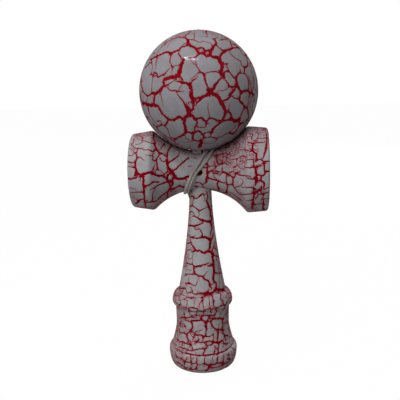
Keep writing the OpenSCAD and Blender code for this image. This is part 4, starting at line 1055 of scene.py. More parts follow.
HANDLE = [
    (1.2, 2.2, [(206.6, 191.6), (207.6, 196.4), (206.8, 201), (208, 204.2), (209.4, 208)]),
    (2.2, 2.4, [(209.4, 208), (210.8, 212.4), (210.7, 215), (211.8, 218.4), (210.8, 222)]),
    (2.2, 1.4, [(210.8, 222), (211.6, 226.4), (212, 228.4), (211, 232), (210.4, 234.6)]),
    (1.6, 2.4, [(213.6, 233), (212.6, 236.6), (210.8, 241.4), (210, 245), (210, 248)]),
    (1.4, 1.3, [(190.2, 197.2), (191.6, 196.2), (194, 196.6)]),
    (1.0, 2.0, [(193.4, 198.4), (197, 198.2), (199.8, 196), (202.4, 193.8)]),
    (1.6, 1.0, [(202.4, 193.8), (204.6, 194.6)]),
    (0.8, 0.9, [(191.4, 190.4), (192, 193), (191.6, 196)]),
    (0.8, 1.2, [(193.6, 198.8), (192.6, 203.4), (192.4, 206)]),
    (1.4, 1.4, [(189.8, 206.4), (192.4, 206), (195.6, 208), (198.6, 210.4)]),
    (1.4, 0.7, [(198.6, 210.4), (200.6, 210.4), (204.6, 208.6), (209, 206.8)]),
    (0.8, 0.6, [(198.4, 210.8), (199.4, 215.6)]),
    (0.7, 0.7, [(203.6, 194.6), (204.6, 199.6)]),
    (1.4, 0.8, [(190, 212.6), (191.8, 211.4), (194.2, 214.6)]),
    (1.2, 2.0, [(193.4, 216.2), (197.4, 217.6), (200.6, 219.8), (202.6, 220.2)]),
    (2.0, 2.5, [(202.6, 220.2), (206.4, 221.4), (210.8, 221.8)]),
    (1.7, 1.8, [(189, 225.4), (193.6, 225.8), (198.4, 225)]),
    (1.8, 1.0, [(198.4, 225), (200.2, 224.2), (202.6, 223)]),
    (0.8, 1.4, [(194.6, 227.2), (195, 229.2), (199.6, 229.4), (201.6, 232.2), (203, 236.6)]),
    (1.7, 1.0, [(190, 237.2), (192.6, 236.6), (194.4, 236)]),
    (1.0, 1.7, [(191.8, 238), (197, 238.4), (201.4, 237.4)]),
    (1.8, 2.3, [(201.4, 237.4), (205.4, 237.6), (210.6, 240)]),
    (0.8, 0.9, [(188.2, 233.6), (190.2, 237)]),
    (1.2, 1.2, [(187, 243.4), (189.4, 243.3), (190.8, 241.6), (190.2, 239.8)]),
    (1.4, 1.7, [(190.4, 243), (193.4, 246.8), (196, 250.4)]),
    (1.4, 2.0, [(192.2, 251.6), (195.8, 250.6), (197.4, 251.2), (199.4, 250.6), (202.6, 252.6)]),
    (2.0, 2.4, [(202.6, 252.6), (204.4, 252.8), (207.6, 251.4), (211, 252.2), (213.4, 255)]),
    (1.6, 1.5, [(213.8, 246.6), (212.6, 250), (212.4, 253.4)]),
    (2.4, 2.6, [(213.4, 255), (212.8, 257), (213.6, 261.4), (213.4, 264)]),
    (2.6, 2.2, [(213.4, 264), (214, 270.6), (213.4, 278)]),
    (2.0, 1.8, [(213.4, 278), (213.8, 280.6), (216, 283.4), (216.2, 288.4)]),
    (1.4, 1.0, [(213.4, 255.4), (217, 256), (218.6, 257.2)]),
    (1.1, 0.9, [(217, 256), (216.4, 260)]),
    (1.2, 1.8, [(186.2, 262.8), (190, 264.2), (192, 264.6), (195, 266.4), (199.6, 266.2)]),
    (2.0, 1.1, [(199.6, 266.2), (203.4, 264.9), (205.4, 264.8), (208.6, 262.8)]),
    (1.4, 1.7, [(207.8, 266), (213.6, 265.4)]),
    (0.9, 0.8, [(210, 264), (213, 263.2)]),
    (1.5, 1.7, [(193.6, 266.4), (194, 270.8), (195.4, 274)]),
    (0.9, 1.9, [(186, 274), (191, 274.4), (195, 273.6)]),
    (1.8, 2.0, [(195.4, 274.2), (198.8, 276), (202.6, 276.6), (204.8, 279.4)]),
    (1.7, 2.0, [(204.8, 279.4), (208.4, 280.6), (209.4, 282.6), (209.8, 285.2)]),
    (1.9, 1.3, [(209.8, 285.2), (212, 288.8)]),
    (1.0, 0.6, [(203.2, 276.6), (204.6, 274.8), (207.2, 271.6)]),
    (1.7, 0.9, [(214.4, 272.2), (217, 273), (221.6, 273.6)]),
    (0.9, 1.6, [(185, 283.5), (189.4, 283)]),
    (1.6, 1.0, [(189.4, 283), (194.4, 285.6), (196.2, 284.8)]),
    (1.0, 0.6, [(196, 284.6), (198, 280.6), (199.2, 278.8)]),
    (1.2, 1.0, [(213.8, 281), (213.2, 283.6), (211.4, 284.8)]),
]
BASE = [
    (1.4, 1.6, [(179, 288.4), (185.6, 288.6)]),
    (1.3, 1.0, [(185.6, 288.8), (187.2, 292.4)]),
    (0.9, 1.0, [(191, 287.6), (192.2, 290), (192.6, 293)]),
    (1.1, 2.0, [(192.2, 293), (196.4, 294.4), (200.6, 293.2)]),
    (1.8, 2.0, [(200.6, 293.2), (204.6, 293.4), (206.4, 292.6), (208, 291)]),
    (1.7, 1.0, [(208, 291), (209.2, 290.2)]),
    (1.6, 2.2, [(200.2, 297), (202.4, 297.2), (206, 295.2), (207.4, 294)]),
    (2.2, 3.0, [(207.4, 294), (209.4, 294.2), (212.6, 292.6), (215.4, 290.2)]),
    (3.0, 3.0, [(215.4, 290.2), (217, 289.4), (219, 289.8), (224, 289.8)]),
    (2.0, 1.2, [(224, 290.4), (227.4, 293), (228.6, 293.4)]),
    (1.0, 1.6, [(215.8, 292.4), (220, 293.4), (221, 298)]),
    (1.7, 1.2, [(221, 298), (222.8, 302.4), (223.4, 305)]),
    (1.8, 1.4, [(202.4, 297.6), (202.4, 300)]),
    (1.5, 0.9, [(202.4, 300), (199.6, 304), (199, 307)]),
    (1.8, 1.3, [(211.8, 294.6), (213.2, 299.6), (213.4, 302)]),
    (1.3, 0.9, [(213.4, 302), (214.4, 307)]),
    (0.6, 1.2, [(208.6, 296), (209.6, 302), (210.4, 308)]),
    (1.0, 1.0, [(203.4, 300), (203, 303), (203.8, 308.4)]),
    (0.7, 0.6, [(195, 299.4), (194.6, 304)]),
    (0.9, 0.9, [(187.4, 300), (186.6, 306.6)]),
    (0.9, 1.0, [(180.4, 298.6), (180, 305.4)]),
    (1.5, 2.0, [(186.4, 297.6), (188.4, 297), (191.6, 298.4)]),
    (1.4, 1.0, [(192.2, 297), (194, 298), (196, 298.2)]),
    (1.2, 1.1, [(182.2, 299.6), (185.6, 298.4)]),
    (1.0, 1.0, [(176.2, 296.2), (180.4, 294.4), (184, 295.6), (186, 296.2)]),
    (1.4, 1.0, [(186.8, 293.6), (190, 292), (191.6, 292.8)]),
    (1.0, 1.4, [(175.2, 299.6), (175.6, 302.4), (178.6, 305), (181, 305)]),
    (1.2, 1.4, [(181.4, 306.4), (185.4, 308), (189.6, 309)]),
    (1.5, 1.3, [(190.2, 307.6), (194, 308.4), (198.2, 308.4)]),
    (1.0, 1.6, [(198, 308.6), (197.4, 310.6), (201.4, 311.4)]),
    (1.6, 1.2, [(201.4, 311.4), (203.4, 311.2), (206.8, 309.2), (211.4, 309), (216.6, 308)]),
    (1.7, 1.4, [(215.8, 309.6), (219.4, 307), (222.8, 305.2), (225, 304.6)]),
    (1.2, 0.9, [(225, 304.6), (228.4, 302.2)]),
    (1.4, 1.2, [(189, 309.2), (189.6, 313.6), (192.2, 315.8)]),
    (1.6, 1.8, [(203.4, 311.4), (203.2, 315.6)]),
    (1.0, 1.0, [(196.6, 310.8), (196.4, 315.2)]),
    (1.9, 1.0, [(211.4, 309.4), (210.6, 311), (210.8, 313)]),
    (1.7, 1.4, [(216.6, 310.2), (216.2, 312.4), (214.6, 315.6)]),
    (1.2, 1.0, [(224.4, 305.4), (224.4, 308), (223.4, 310.4)]),
    (1.0, 1.0, [(184.4, 311.6), (184.8, 317.4)]),
    (1.6, 1.7, [(180.2, 317.7), (182, 317.2), (186.4, 317.8)]),
    (1.7, 1.3, [(186.4, 317.8), (190.4, 317.4), (195, 317.4)]),
    (1.0, 1.2, [(191.8, 315.6), (197, 315.4), (201.2, 317)]),
    (2.4, 2.6, [(201, 316.8), (201.6, 320.2)]),
    (1.6, 1.4, [(203.2, 315.4), (208.4, 315.4), (210.4, 316), (215, 315.5)]),
    (1.0, 1.5, [(183.2, 319.2), (187, 320.6), (190.6, 322.4)]),
    (2.0, 2.2, [(190.8, 322), (192.4, 320.8), (196.4, 320.9)]),
    (2.2, 2.2, [(196.4, 320.9), (202.2, 320.2), (205.4, 322), (207, 322)]),
    (2.0, 1.6, [(207, 322), (207.4, 320.2), (209.4, 317), (210.6, 315.8)]),
    (1.6, 1.9, [(207, 321.8), (211, 321.2), (213.8, 318.8), (216, 318.4)]),
    (2.0, 2.0, [(216, 318.4), (220.4, 318.4), (224, 318)]),
    (1.4, 1.4, [(208.4, 318.6), (212.6, 318.6)]),
    (2.0, 1.8, [(191.2, 322), (192.4, 326), (192.2, 327.8), (190, 330.4)]),
    (2.5, 2.0, [(206, 321.8), (206, 326.6), (206.6, 328.8)]),
    (2.0, 1.0, [(206.6, 328.8), (205.6, 333.4), (205.6, 336)]),
    (1.4, 2.2, [(210, 321.6), (212.4, 325.4), (214.8, 328.6), (218, 330)]),
    (2.0, 1.8, [(218, 330), (220, 329.8), (223.2, 331.2)]),
    (2.0, 2.2, [(222.4, 319), (222.8, 324), (222.4, 328.6), (223, 331)]),
    (1.8, 1.2, [(179, 324), (181.6, 323.6)]),
    (0.7, 0.6, [(183.4, 325), (186, 329.8)]),
    (0.9, 0.8, [(223.6, 323), (226.4, 323.2), (228.4, 321.8)]),
    (1.0, 1.7, [(178.8, 330.4), (181, 332.4), (185, 333.4)]),
    (1.8, 1.4, [(185, 333.4), (187, 334), (189.8, 332), (190.4, 330.4)]),
    (1.4, 1.4, [(190.4, 331.2), (194.2, 333), (195, 335)]),
    (1.0, 1.4, [(195, 333.2), (196.4, 331.6), (201, 330.3)]),
    (1.3, 1.6, [(186.4, 334.2), (188, 338.4), (188, 341)]),
    (1.4, 1.8, [(194.4, 335), (200.8, 335.2), (204.4, 336.4)]),
    (1.9, 1.0, [(204.4, 336.4), (208.8, 336.4), (213, 335)]),
    (1.3, 1.1, [(194.8, 335), (192.8, 339.4)]),
    (1.6, 1.2, [(202.6, 336.2), (203.2, 340.8)]),
    (1.2, 1.2, [(213.6, 333.6), (213.6, 339), (214, 341.6)]),
    (2.0, 1.8, [(217.8, 330.2), (218.4, 335), (217.4, 339.6), (217.6, 342)]),
    (1.0, 1.8, [(223.2, 332.6), (224.4, 335), (226.4, 335.4), (228, 334.8)]),
    (1.8, 1.2, [(224.4, 336), (225, 338.4), (226.4, 339.8)]),
    (1.8, 1.2, [(177.2, 339.2), (180.4, 342)]),
    (1.8, 1.7, [(180.2, 342), (182.4, 341.6), (186, 343.2), (191, 345)]),
    (1.2, 1.2, [(188, 340.8), (190, 344.6)]),
    (1.5, 1.2, [(191, 345), (192.8, 348.8), (192.4, 351)]),
    (1.0, 0.9, [(190, 345.4), (188.2, 350.2)]),
    (1.2, 1.1, [(192.8, 341.4), (197.2, 341)]),
    (1.0, 1.9, [(195.4, 344.6), (197, 342.2), (198.8, 340)]),
    (1.6, 1.4, [(199.8, 342.6), (203.8, 342.4)]),
    (1.6, 1.3, [(205.4, 341.8), (207.4, 341.4), (213.2, 341.4)]),
    (1.1, 1.6, [(206.4, 342.4), (207, 346.4), (205, 349.4)]),
    (1.2, 2.4, [(207, 345.4), (211, 345.2), (213.6, 342.8), (216, 342.6)]),
    (2.4, 2.4, [(216, 342.6), (219.4, 342.6)]),
    (2.3, 2.0, [(219.4, 342.4), (222.6, 340.6), (224.2, 343.6)]),
    (2.0, 1.6, [(224.2, 343.6), (226, 344.4), (228, 343.4)]),
    (2.0, 1.4, [(219.4, 343.2), (218.6, 347.8), (218.2, 353)]),
    (1.4, 1.0, [(214.8, 347.2), (217.6, 349.8)]),
    (0.9, 1.4, [(175.2, 347.8), (179.4, 350.8), (183.4, 352.8), (188.6, 354.2)]),
    (1.4, 2.0, [(188.6, 354.2), (194, 355), (200, 355.6), (206, 355.4)]),
    (2.0, 1.6, [(206, 355.4), (212, 354.8), (218, 353.6), (223.6, 351.4)]),
    (1.6, 0.9, [(223.6, 351.4), (228.2, 348.8), (231.4, 345.4), (232.6, 343)]),
    (1.2, 1.4, [(180.4, 347), (184.4, 348.6), (188, 350.4), (192.4, 350.8)]),
    (1.4, 1.5, [(192.4, 350.8), (196.4, 349.4), (198.4, 349.6), (200, 348.6), (205, 349.4)]),
    (1.5, 1.3, [(204.6, 349.6), (203.4, 354.6)]),
    (1.7, 1.4, [(214.6, 350.6), (214.6, 354)]),
    (0.8, 0.8, [(187, 350.2), (186.4, 353)]),
    (1.2, 1.8, [(223.4, 354.6), (223.2, 360), (223.2, 364.6)]),
    (1.2, 1.6, [(218, 356), (217, 361.4), (217.2, 363.6)]),
    (1.0, 0.9, [(213, 356), (212.6, 359), (213.6, 362)]),
    (1.2, 1.4, [(204.4, 357.6), (204.4, 360.4), (205.4, 364.6)]),
    (1.2, 1.7, [(196.4, 358), (197, 362.6), (196.6, 367), (195.8, 369.4)]),
    (1.0, 1.2, [(190.4, 355.6), (191, 360.6), (191.8, 363)]),
    (0.9, 1.4, [(186.4, 356.6), (186.2, 359.4), (184.6, 364)]),
    (0.8, 0.7, [(182, 355.4), (182.4, 358.6)]),
    (1.0, 1.5, [(177.8, 358), (182, 358.6), (184.8, 361.8)]),
    (1.5, 1.4, [(184.8, 361.8), (190.4, 362.6), (191.6, 364), (197, 363)]),
    (1.6, 1.4, [(175.8, 356.4), (177.4, 356.6)]),
    (1.0, 1.4, [(176.2, 361.8), (180.4, 363.6), (183.6, 366.4), (186.4, 369)]),
    (1.2, 1.1, [(184.6, 363.4), (183.8, 366.8)]),
    (1.2, 1.8, [(186.4, 369.2), (191.6, 369.6), (196, 369.4)]),
    (1.0, 1.6, [(199.2, 364.6), (201, 364.8), (202.6, 364), (206.4, 364.8)]),
    (1.6, 2.4, [(206.4, 364.8), (208, 365.6), (209, 367)]),
    (2.2, 1.6, [(209, 367), (208.4, 368.6), (205.2, 371)]),
    (2.6, 1.5, [(208.4, 365.8), (210, 364.6), (214, 364.4), (217, 363.2)]),
    (1.5, 2.2, [(217, 363.2), (221.4, 363.2), (223.4, 364.6)]),
    (2.2, 1.4, [(223.4, 365), (227.4, 363)]),
    (1.4, 1.6, [(209.4, 367), (213.6, 367.8), (218.4, 367), (223, 365.4)]),
    (1.0, 1.0, [(196.8, 370), (202, 370.8), (208.4, 371)]),
    (1.7, 1.4, [(227.4, 359), (229.6, 359.4), (231.8, 358.8)]),
    (0.8, 0.7, [(226, 354), (228.4, 356.4)]),
    (1.2, 1.2, [(186.2, 251.6), (188, 250), (191.2, 249.6)]),
    (0.9, 0.8, [(186.4, 253), (188, 258.6), (191.4, 258.8)]),
    (0.6, 0.6, [(193, 253.5), (192.6, 261), (192.8, 264.4)]),
    (1.2, 1.0, [(184.4, 266.4), (186.8, 266)]),
    (0.7, 0.6, [(185.4, 269.6), (190.4, 270)]),
    (1.1, 0.9, [(183.6, 276), (186.2, 275.3)]),
    (0.6, 0.6, [(188.4, 277.2), (188, 283.4)]),
    (0.9, 0.8, [(216.4, 240), (214, 244.4)]),
    (1.2, 1.0, [(213.6, 246.4), (217.2, 250.6)]),
    (0.8, 0.8, [(217, 260), (219.6, 266.6)]),
    (0.7, 0.8, [(219.6, 270), (219.4, 280), (220, 288.4)]),
    (0.6, 0.6, [(221.4, 276), (222, 281.4)]),
    (0.9, 0.8, [(231.4, 351.6), (232.4, 355), (232.6, 358.6)]),
    (0.9, 0.7, [(234.2, 348.8), (234.8, 352), (234.6, 355.6)]),
    (1.0, 0.7, [(228.4, 353.2), (229.2, 356), (229.2, 358.4)]),
    (1.2, 0.9, [(190.6, 333.4), (192.2, 336.4), (195.2, 338)]),
    (1.1, 0.9, [(187.4, 338.6), (190.4, 341.2), (191, 345.8)]),
    (1.1, 0.9, [(198.4, 338.4), (197.2, 341.4), (193.8, 343.6)]),
    (1.0, 0.8, [(203.8, 341.4), (205.4, 344.4), (204.8, 347.8)]),
    (1.0, 0.8, [(222.4, 333.6), (225.6, 336.4), (229.4, 336.2)]),
]
# Patches of fine crazing: a place in the photograph, its reach in pixels and its strength; the ball's first
# three, at its right edge, are painted shade there too
BALL_CRAZE_AND_SHADE = [
    ((250, 96), 11, 0.6), ((247, 110), 10, 0.6), ((252, 82), 9, 0.5), ((212, 32), 12, 0.5),
    ((190, 33), 10, 0.4),
]
CROSS_CRAZE = [
    ((232, 148), 18, 1), ((220, 156), 12, 0.9), ((246, 136), 12, 0.95), ((258, 131), 10, 0.9),
    ((243, 160), 10, 0.9), ((240, 195), 10, 0.7), ((140, 137), 10, 0.8), ((214, 166), 7, 0.7),
    ((250, 150), 13, 0.8), ((232, 168), 12, 0.5),
]
HANDLE_CRAZE = [
    ((181, 292), 8, 0.9), ((179, 325), 8, 0.9), ((177, 348), 7, 0.9), ((196, 300), 8, 0.3),
    ((234, 352), 6, 0.6),
]


# Surfaces as distances: below 0 is inside the wood

def off_ball(places):
    return np.linalg.norm(places - [0, 0, BALL_Z], axis=-1) - BALL_R


def off_lathe(outline, along_x):
    """The distance from a turned piece's outside, whose outline is (radius, place along the axis)."""
    apart = np.abs(outline[:, None, 1] - outline[None, :, 1])
    widest = np.where(apart < OUTER_REACH, outline[None, :, 0], 0).max(1)
    outer = outline[outline[:, 0] > widest - OUTER_SLACK]
    radii, along = outer[np.argsort(outer[:, 1], kind="stable")].T
    no_wood = -BALL_R

    def distance(places):
        x, y, z = np.moveaxis(places, -1, 0)
        across, h = (np.hypot(y, z - CROSS_Z), x) if along_x else (np.hypot(x, y), z)
        return across - np.interp(h, along, radii, left=no_wood, right=no_wood)
    return distance


def land(pixels, distance):
    """Where the rays through places in the photograph meet a surface, or pass closest to it."""
    p = np.asarray(pixels, float) - IMAGE_PX / 2
    rays = unit(AHEAD * LENS_PX + p[:, :1] * RIGHT + p[:, 1:] * DOWN)
    reach = np.arange(CAMERA_D - RAY_SPAN, CAMERA_D + RAY_SPAN, RAY_STEP)
    gap = distance(EYE + reach[None, :, None] * rays[:, None])
    hit = (gap < 0).any(1)
    first = np.where(hit, (gap < 0).argmax(1), gap.argmin(1))
    row = np.arange(len(rays))
    before, after = gap[row, first - 1], gap[row, first]
    back = np.where(hit, after / np.where(hit, after - before, 1), 0)
    return EYE + (reach[first] - RAY_STEP * back)[:, None] * rays


def facing_out(places, distance):
    """A surface's outward directions at places on it."""
    steps = np.eye(3) * RAY_STEP
    return unit(np.stack([distance(places + s) - distance(places - s) for s in steps], -1) + TINY)


def lay_cracks(routes, distance, shares, seed):
    """Cracks laid along routes on a surface: points, half widths, and the directions ahead and outward."""
    rng = np.random.default_rng(seed)
    flat, widths = [], []
    for start_w, stop_w, pixels in routes:
        line = evenly(smooth(pixels, LINE_STEPS), CRACK_STEP_PX)
        shake = rng.uniform(-CRACK_SHAKE_PX, CRACK_SHAKE_PX, line.shape)
        shake[1:-1] = (shake[:-2] + 2 * shake[1:-1] + shake[2:]) / 4
        flat.append(line + shake)
        pulse = 1 + rng.uniform(-CRACK_PULSE_SHARE, CRACK_PULSE_SHARE, len(line))
        widths.append(np.linspace(start_w, stop_w, len(line)) * pulse)
    ends = np.cumsum([len(line) for line in flat])[:-1]
    places = land(np.vstack(flat), distance)
    out = facing_out(places, distance)
    depth = (places - EYE) @ AHEAD
    halves = np.concatenate(widths) / 2 * depth / LENS_PX
    thick = np.clip((np.concatenate(widths) - THIN_PX) / (THICK_PX - THIN_PX), 0, 1)
    halves *= shares[0] + (shares[1] - shares[0]) * thick
    laid = []
    for p, h, o in zip(np.split(places, ends), np.split(halves, ends), np.split(out, ends)):
        if np.linalg.norm(np.diff(p, axis=0), axis=1).max() < CRACK_JUMP:
            laid.append((p, h, unit(np.gradient(p, axis=0) + TINY), o))
    return laid


def laid_fields(points, laid):
    """Each point's signed distance from the crack it lies in or nearest to, and that crack's half width."""
    side, half = np.full(len(points), FAR), np.zeros(len(points))
    for p, h, ahead, out in laid:
        near = np.flatnonzero(((points > p.min(0) - CRACK_REACH) & (points < p.max(0) + CRACK_REACH)).all(1))
        if not len(near):
            continue
        off = points[near][:, None] - p[None]
        apart = (off**2).sum(2)
        k = apart.argmin(1)
        row = np.arange(len(near))
        off, apart = off[row, k], apart[row, k]
        along = (off * ahead[k]).sum(1)
        past = ((k == 0) & (along < 0)) | ((k == len(p) - 1) & (along > 0))
        away = np.sqrt(np.maximum(apart - np.where(past, 0, along**2), 0))
        hand = np.where((np.cross(out[k], ahead[k]) * off).sum(1) < 0, -1, 1)
        better = h[k] - away > half[near] - np.abs(side[near])
        side[near[better]] = (hand * away)[better]
        half[near[better]] = h[k][better]
    return side, half


def lumps(points, size, rng):
    """Smooth random vectors at points, with features of about size."""
    waves = rng.normal(size=(3, LUMP_WAVES)) * LUMP_PITCH / size
    starts = rng.uniform(0, 2 * math.pi, LUMP_WAVES)
    return np.sin(points @ waves + starts) @ rng.normal(size=(LUMP_WAVES, 3)) / LUMP_LEVEL


def cell_fields(points, spacing, half, rng):
    """Cracks along the borders of random cells about spacing across: distances and half widths."""
    seeds = []
    for p in points[rng.integers(0, len(points), CELL_TRIES)]:
        if all(((p - q) ** 2).sum() > spacing**2 for q in seeds):
            seeds.append(p)
    seeds = np.array(seeds)
    bent = points
    for level, size in CELL_BENDS:
        bent = bent + level * lumps(points, size, rng)
    side, width = np.empty(len(points)), np.empty(len(points))
    for part in np.array_split(np.arange(len(points)), CELL_PARTS):
        apart = ((bent[part][:, None] - seeds[None]) ** 2).sum(2)
        pair = np.argpartition(apart, 1, axis=1)[:, :2]
        pair.sort(axis=1)
        row = np.arange(len(part))
        first, second = pair.T
        between = np.linalg.norm(seeds[first] - seeds[second], axis=1)
        side[part] = (apart[row, second] - apart[row, first]) / (2 * between + TINY)
        luck = (np.sin(first * LUCK_FIRST + second * LUCK_SECOND) * LUCK_SCALE) % 1
        width[part] = half * (CELL_THIN_SHARE + CELL_WIDE_SHARE * luck**CELL_POWER)
    return side, width


def step_up(value, low, high):
    """0 below low and 1 above high, with a smooth rise between them."""
    t = np.clip((value - low) / (high - low), 0, 1)
    return t * t * (3 - 2 * t)


def facing_camera(points, normals):
    """How squarely each point faces the photograph's camera: 1 is full on, and below 0 it faces away."""
    return (normals * unit(EYE - points)).sum(1)


def turned_away(points, normals):
    """How far each point is turned from the photograph's camera, where no crack can be read."""
    return 1 - step_up(facing_camera(points, normals), SEEN_FROM, SEEN_TO)


def behind_ball(points):
    """Whether the ball hides each point from the photograph's camera."""
    look = unit(EYE - points)
    to_ball = np.array([0, 0, BALL_Z]) - points
    along = (to_ball * look).sum(1)
    return (along > 0) & ((to_ball**2).sum(1) - along**2 < (BALL_R - BALL_EDGE_W) ** 2)


def crack_up(piece, laid, cells, spots, edge_craze_and_shade_level, seed):
    """Writes on the mesh where its cracks run, and sinks the cracks a little below the flakes."""
    mesh = piece.data
    count = len(mesh.vertices)
    points, normals = np.empty(count * 3), np.empty(count * 3)
    mesh.vertices.foreach_get("co", points)
    mesh.vertex_normals.foreach_get("vector", normals)
    points, normals = points.reshape(-1, 3) / MM, normals.reshape(-1, 3)
    rng = np.random.default_rng(seed)
    side, half = laid_fields(points, laid)
    for spacing, half_width, where in cells:
        s, h = cell_fields(points, spacing, half_width, rng)
        share = where(points, normals)
        h = h * share
        better = (h - np.abs(s) > half - np.abs(side)) & (share > CELL_LEAST_SHARE)
        side[better], half[better] = s[better], h[better]
    craze = np.zeros(count)
    for place, reach, strength in spots:
        away = np.linalg.norm(points - place, axis=1)
        craze = np.maximum(craze, strength * (1 - step_up(away, CRAZE_CORE_SHARE * reach, reach)))
    # Crazing on the edges turned from the camera, which also paints shade there
    if edge_craze_and_shade_level:
        edge_craze_and_shade_mask = 1 - step_up(facing_camera(points, normals), LIMB_FROM, LIMB_TO)
        patchy = step_up(lumps(points, PATCH_SIZE, rng)[:, 0], PATCH_FROM, PATCH_TO)
        craze = np.maximum(craze, edge_craze_and_shade_level * patchy * edge_craze_and_shade_mask)
    far = np.abs(side)
    fields = {"crack_side": side, "crack_half": half, "crack_far": far, "craze": craze}
    for name, values in fields.items():
        mesh.attributes.new(name, "FLOAT", "POINT").data.foreach_set("value", values.astype(np.float32))
    sunk = np.clip((half - far) / CRACK_SLOPE_W, 0, 1)[:, None]
    places = (points - CRACK_DEPTH * sunk * normals) * MM
    mesh.vertices.foreach_set("co", places.astype(np.float32).ravel())
    smooth_faces(mesh)
    mesh.set_sharp_from_angle(angle=SHARP_ANGLE)
    mesh.update()


def lay_spots(spots, distance):
    """Patches of crazing laid on a surface: each one's middle, reach and strength."""
    places = land([place for place, _, _ in spots], distance)
    scale = (places - EYE) @ AHEAD / LENS_PX
    return [(p, reach * s, strength) for p, s, (_, reach, strength) in zip(places, scale, spots)]


def add_ken():
    outline, zones = ken_outline()
    ken = lathe("handle_turned", outline, zones, HANDLE_SIDES, False, [HANDLE_LACQUER, BARE_WOOD])
    pocket_r, bore_r = KNOT_POCKET_D / 2, STRING_BORE_D / 2
    drill(ken, (0, -STEM_D, CROSS_Z), (0, KNOT_POCKET_Y, CROSS_Z), pocket_r, pocket_r)
    drill(ken, (0, 0, CROSS_Z), (0, STEM_D, CROSS_Z), bore_r, bore_r)
    off_ken = off_lathe(outline, False)
    laid = lay_cracks(HANDLE, off_ken, HANDLE_SHARES, HANDLE_SEED)
    laid += lay_cracks(BASE, off_ken, BASE_SHARES, BASE_SEED)

    def unseen(points, normals):
        return np.maximum(turned_away(points, normals), points[:, 2] > CROSS_Z)

    def low(points, normals):
        front = step_up(facing_camera(points, normals), BASE_FRONT_FROM, BASE_FRONT_TO)
        below = 1 - step_up(points[:, 2], COLLAR_Z - BASE_FADE_LOW, COLLAR_Z + BASE_FADE_HIGH)
        return below * (1 - BASE_FRONT_SHARE * front)
    cells = [(*cell, unseen) for cell in HANDLE_CELLS] + [(*cell, low) for cell in BASE_CELLS]
    crack_up(ken, laid, cells, lay_spots(HANDLE_CRAZE, off_ken), EDGE_CRAZE_AND_SHADE_LEVEL, HANDLE_SEED)
    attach(ken, "handle")
    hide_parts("ken")


def add_sarado():
    outline, zones = sarado_outline()
    sarado = lathe("cross_piece_turned", outline, zones, CROSS_SIDES, True, [CROSS_LACQUER, BARE_WOOD])

    def bore_r(z):
        share = (z - CROSS_LOW_Z) / (TIP_CENTRE_Z - CROSS_LOW_Z)
        return STEM_D / 2 + (TIP_D / 2 - STEM_D / 2) * share + TAPER_GAP
    low, high = CROSS_LOW_Z - CUT_OVERRUN, CROSS_TOP_Z + CUT_OVERRUN
    drill(sarado, (0, 0, low), (0, 0, high), bore_r(low), bore_r(high))
    string_r, spare_r, reach = STRING_BORE_D / 2, SPARE_HOLE_D / 2, 2 * CROSS_WAIST_R
    drill(sarado, (0, 0, CROSS_Z), (0, reach, CROSS_Z), string_r, string_r)
    drill(sarado, (0, -reach, CROSS_Z), (0, 0, CROSS_Z), spare_r, spare_r)
    edge, bevel = -CROSS_WAIST_R, SPARE_BEVEL_W
    drill(sarado, (0, edge - bevel, CROSS_Z), (0, edge + bevel, CROSS_Z), spare_r + 2 * bevel, spare_r)
    off_sarado = off_lathe(outline, True)
    laid = lay_cracks(CROSS, off_sarado, CROSS_SHARES, CROSS_SEED)

    def unseen(points, normals):
        return np.maximum(turned_away(points, normals), behind_ball(points))
    cells = [(*cell, unseen) for cell in CROSS_CELLS]
    crack_up(sarado, laid, cells, lay_spots(CROSS_CRAZE, off_sarado), EDGE_CRAZE_AND_SHADE_LEVEL, CROSS_SEED)
    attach(sarado, "handle")
    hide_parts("sarado")


def add_tama():
    outline, zones = tama_outline()
    tama = lathe("ball_turned", outline, zones, BALL_SIDES, False, [BALL_LACQUER, BARE_WOOD])
    laid = lay_cracks(BALL, off_ball, BALL_SHARES, BALL_SEED)
    cells = [(*cell, turned_away) for cell in BALL_CELLS]
    crack_up(tama, laid, cells, lay_spots(BALL_CRAZE_AND_SHADE, off_ball), edge_craze_and_shade_level=0, seed=BALL_SEED)
    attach(tama, "ball")
    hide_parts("tama")


add_ken()
add_sarado()
add_tama()
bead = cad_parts["bead"]
bead.data.materials.clear()
bead.data.materials.append(BARE_WOOD)


# Floor, world and lamps, in metres and watts. A lamp has its name, place, size and power, and
# whether it shows in gloss

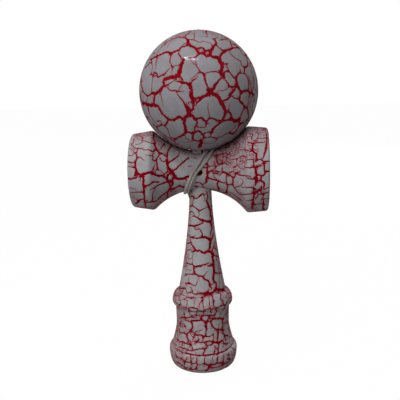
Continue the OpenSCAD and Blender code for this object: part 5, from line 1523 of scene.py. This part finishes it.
FLOOR_REACH_M = 6
FLOOR_ROUGHNESS, FLOOR_SPECULAR, FLOOR_WHITE_SHARE = 0.9, 0.1, 0.98
PAPER_SEEN, PAPER_BOUNCE = srgb(240, 240, 240), srgb(165, 165, 165)
WORLD_LEVEL = 0.18
MIDDLE = (0, 0, 0.1)
LAMPS = [
    ("ceiling_tube", (-0.18, -0.473, 1.027), (0.44, 0.02), 3.2, True),
    ("soft_top", (-0.4, -0.35, 1.2), (1.2, 1.2), 5.4, False),
    ("soft_front", (-0.5, -1.0, 0.75), (0.7, 0.7), 6.6, False),
    ("soft_back", (0.55, 1.0, 0.5), (0.8, 0.8), 7.5, False),
]


def seen_directly(n):
    """1 for rays from the camera, in a mirror or through glass, which see the white background as it is."""
    path = n.add("ShaderNodeLightPath")
    seen = n.maths("MAXIMUM", path.outputs["Is Camera Ray"], path.outputs["Is Glossy Ray"])
    return n.maths("MAXIMUM", seen, path.outputs["Is Transmission Ray"])


def add_floor():
    n = material_nodes("pale_floor")
    paper, shaded = [
        n.principled(Base_Color=colour, Roughness=FLOOR_ROUGHNESS, Specular_IOR_Level=FLOOR_SPECULAR)
        for colour in (PAPER_SEEN, PAPER_BOUNCE)
    ]
    white = n.add("ShaderNodeEmission", {"Color": WHITE, "Strength": 1})
    bright = n.blend(FLOOR_WHITE_SHARE, paper, white)
    material = n.finish(n.blend(seen_directly(n), shaded, bright))
    reach = FLOOR_REACH_M
    mesh = bpy.data.meshes.new("floor")
    corners = [(-reach, -reach, 0), (reach, -reach, 0), (reach, reach, 0), (-reach, reach, 0)]
    mesh.from_pydata(corners, [], [(0, 1, 2, 3)])
    mesh.materials.append(material)
    new_object("floor", mesh)


def add_world():
    world = bpy.data.worlds.new("white_room")
    bpy.context.scene.world = world
    n = Nodes(world)
    levels = {"Value": seen_directly(n), "To Min": WORLD_LEVEL, "To Max": 1}
    strength = n.add("ShaderNodeMapRange", levels).outputs[0]
    n.finish(n.add("ShaderNodeBackground", {"Color": WHITE, "Strength": strength}), "ShaderNodeOutputWorld")


def add_lamp(name, place, size, power, shines):
    """A soft lamp, turned to the middle of the part."""
    data = bpy.data.lights.new(name, "AREA")
    data.shape = "RECTANGLE"
    data.size, data.size_y = size
    data.energy = power
    lamp = new_object(name, data)
    lamp.location = place
    lamp.rotation_euler = (Vector(MIDDLE) - Vector(place)).to_track_quat("-Z", "Y").to_euler()
    lamp.visible_glossy = shines


add_floor()
add_world()
for lamp_row in LAMPS:
    add_lamp(*lamp_row)

view = bpy.context.scene.view_settings
view.view_transform = "Standard"
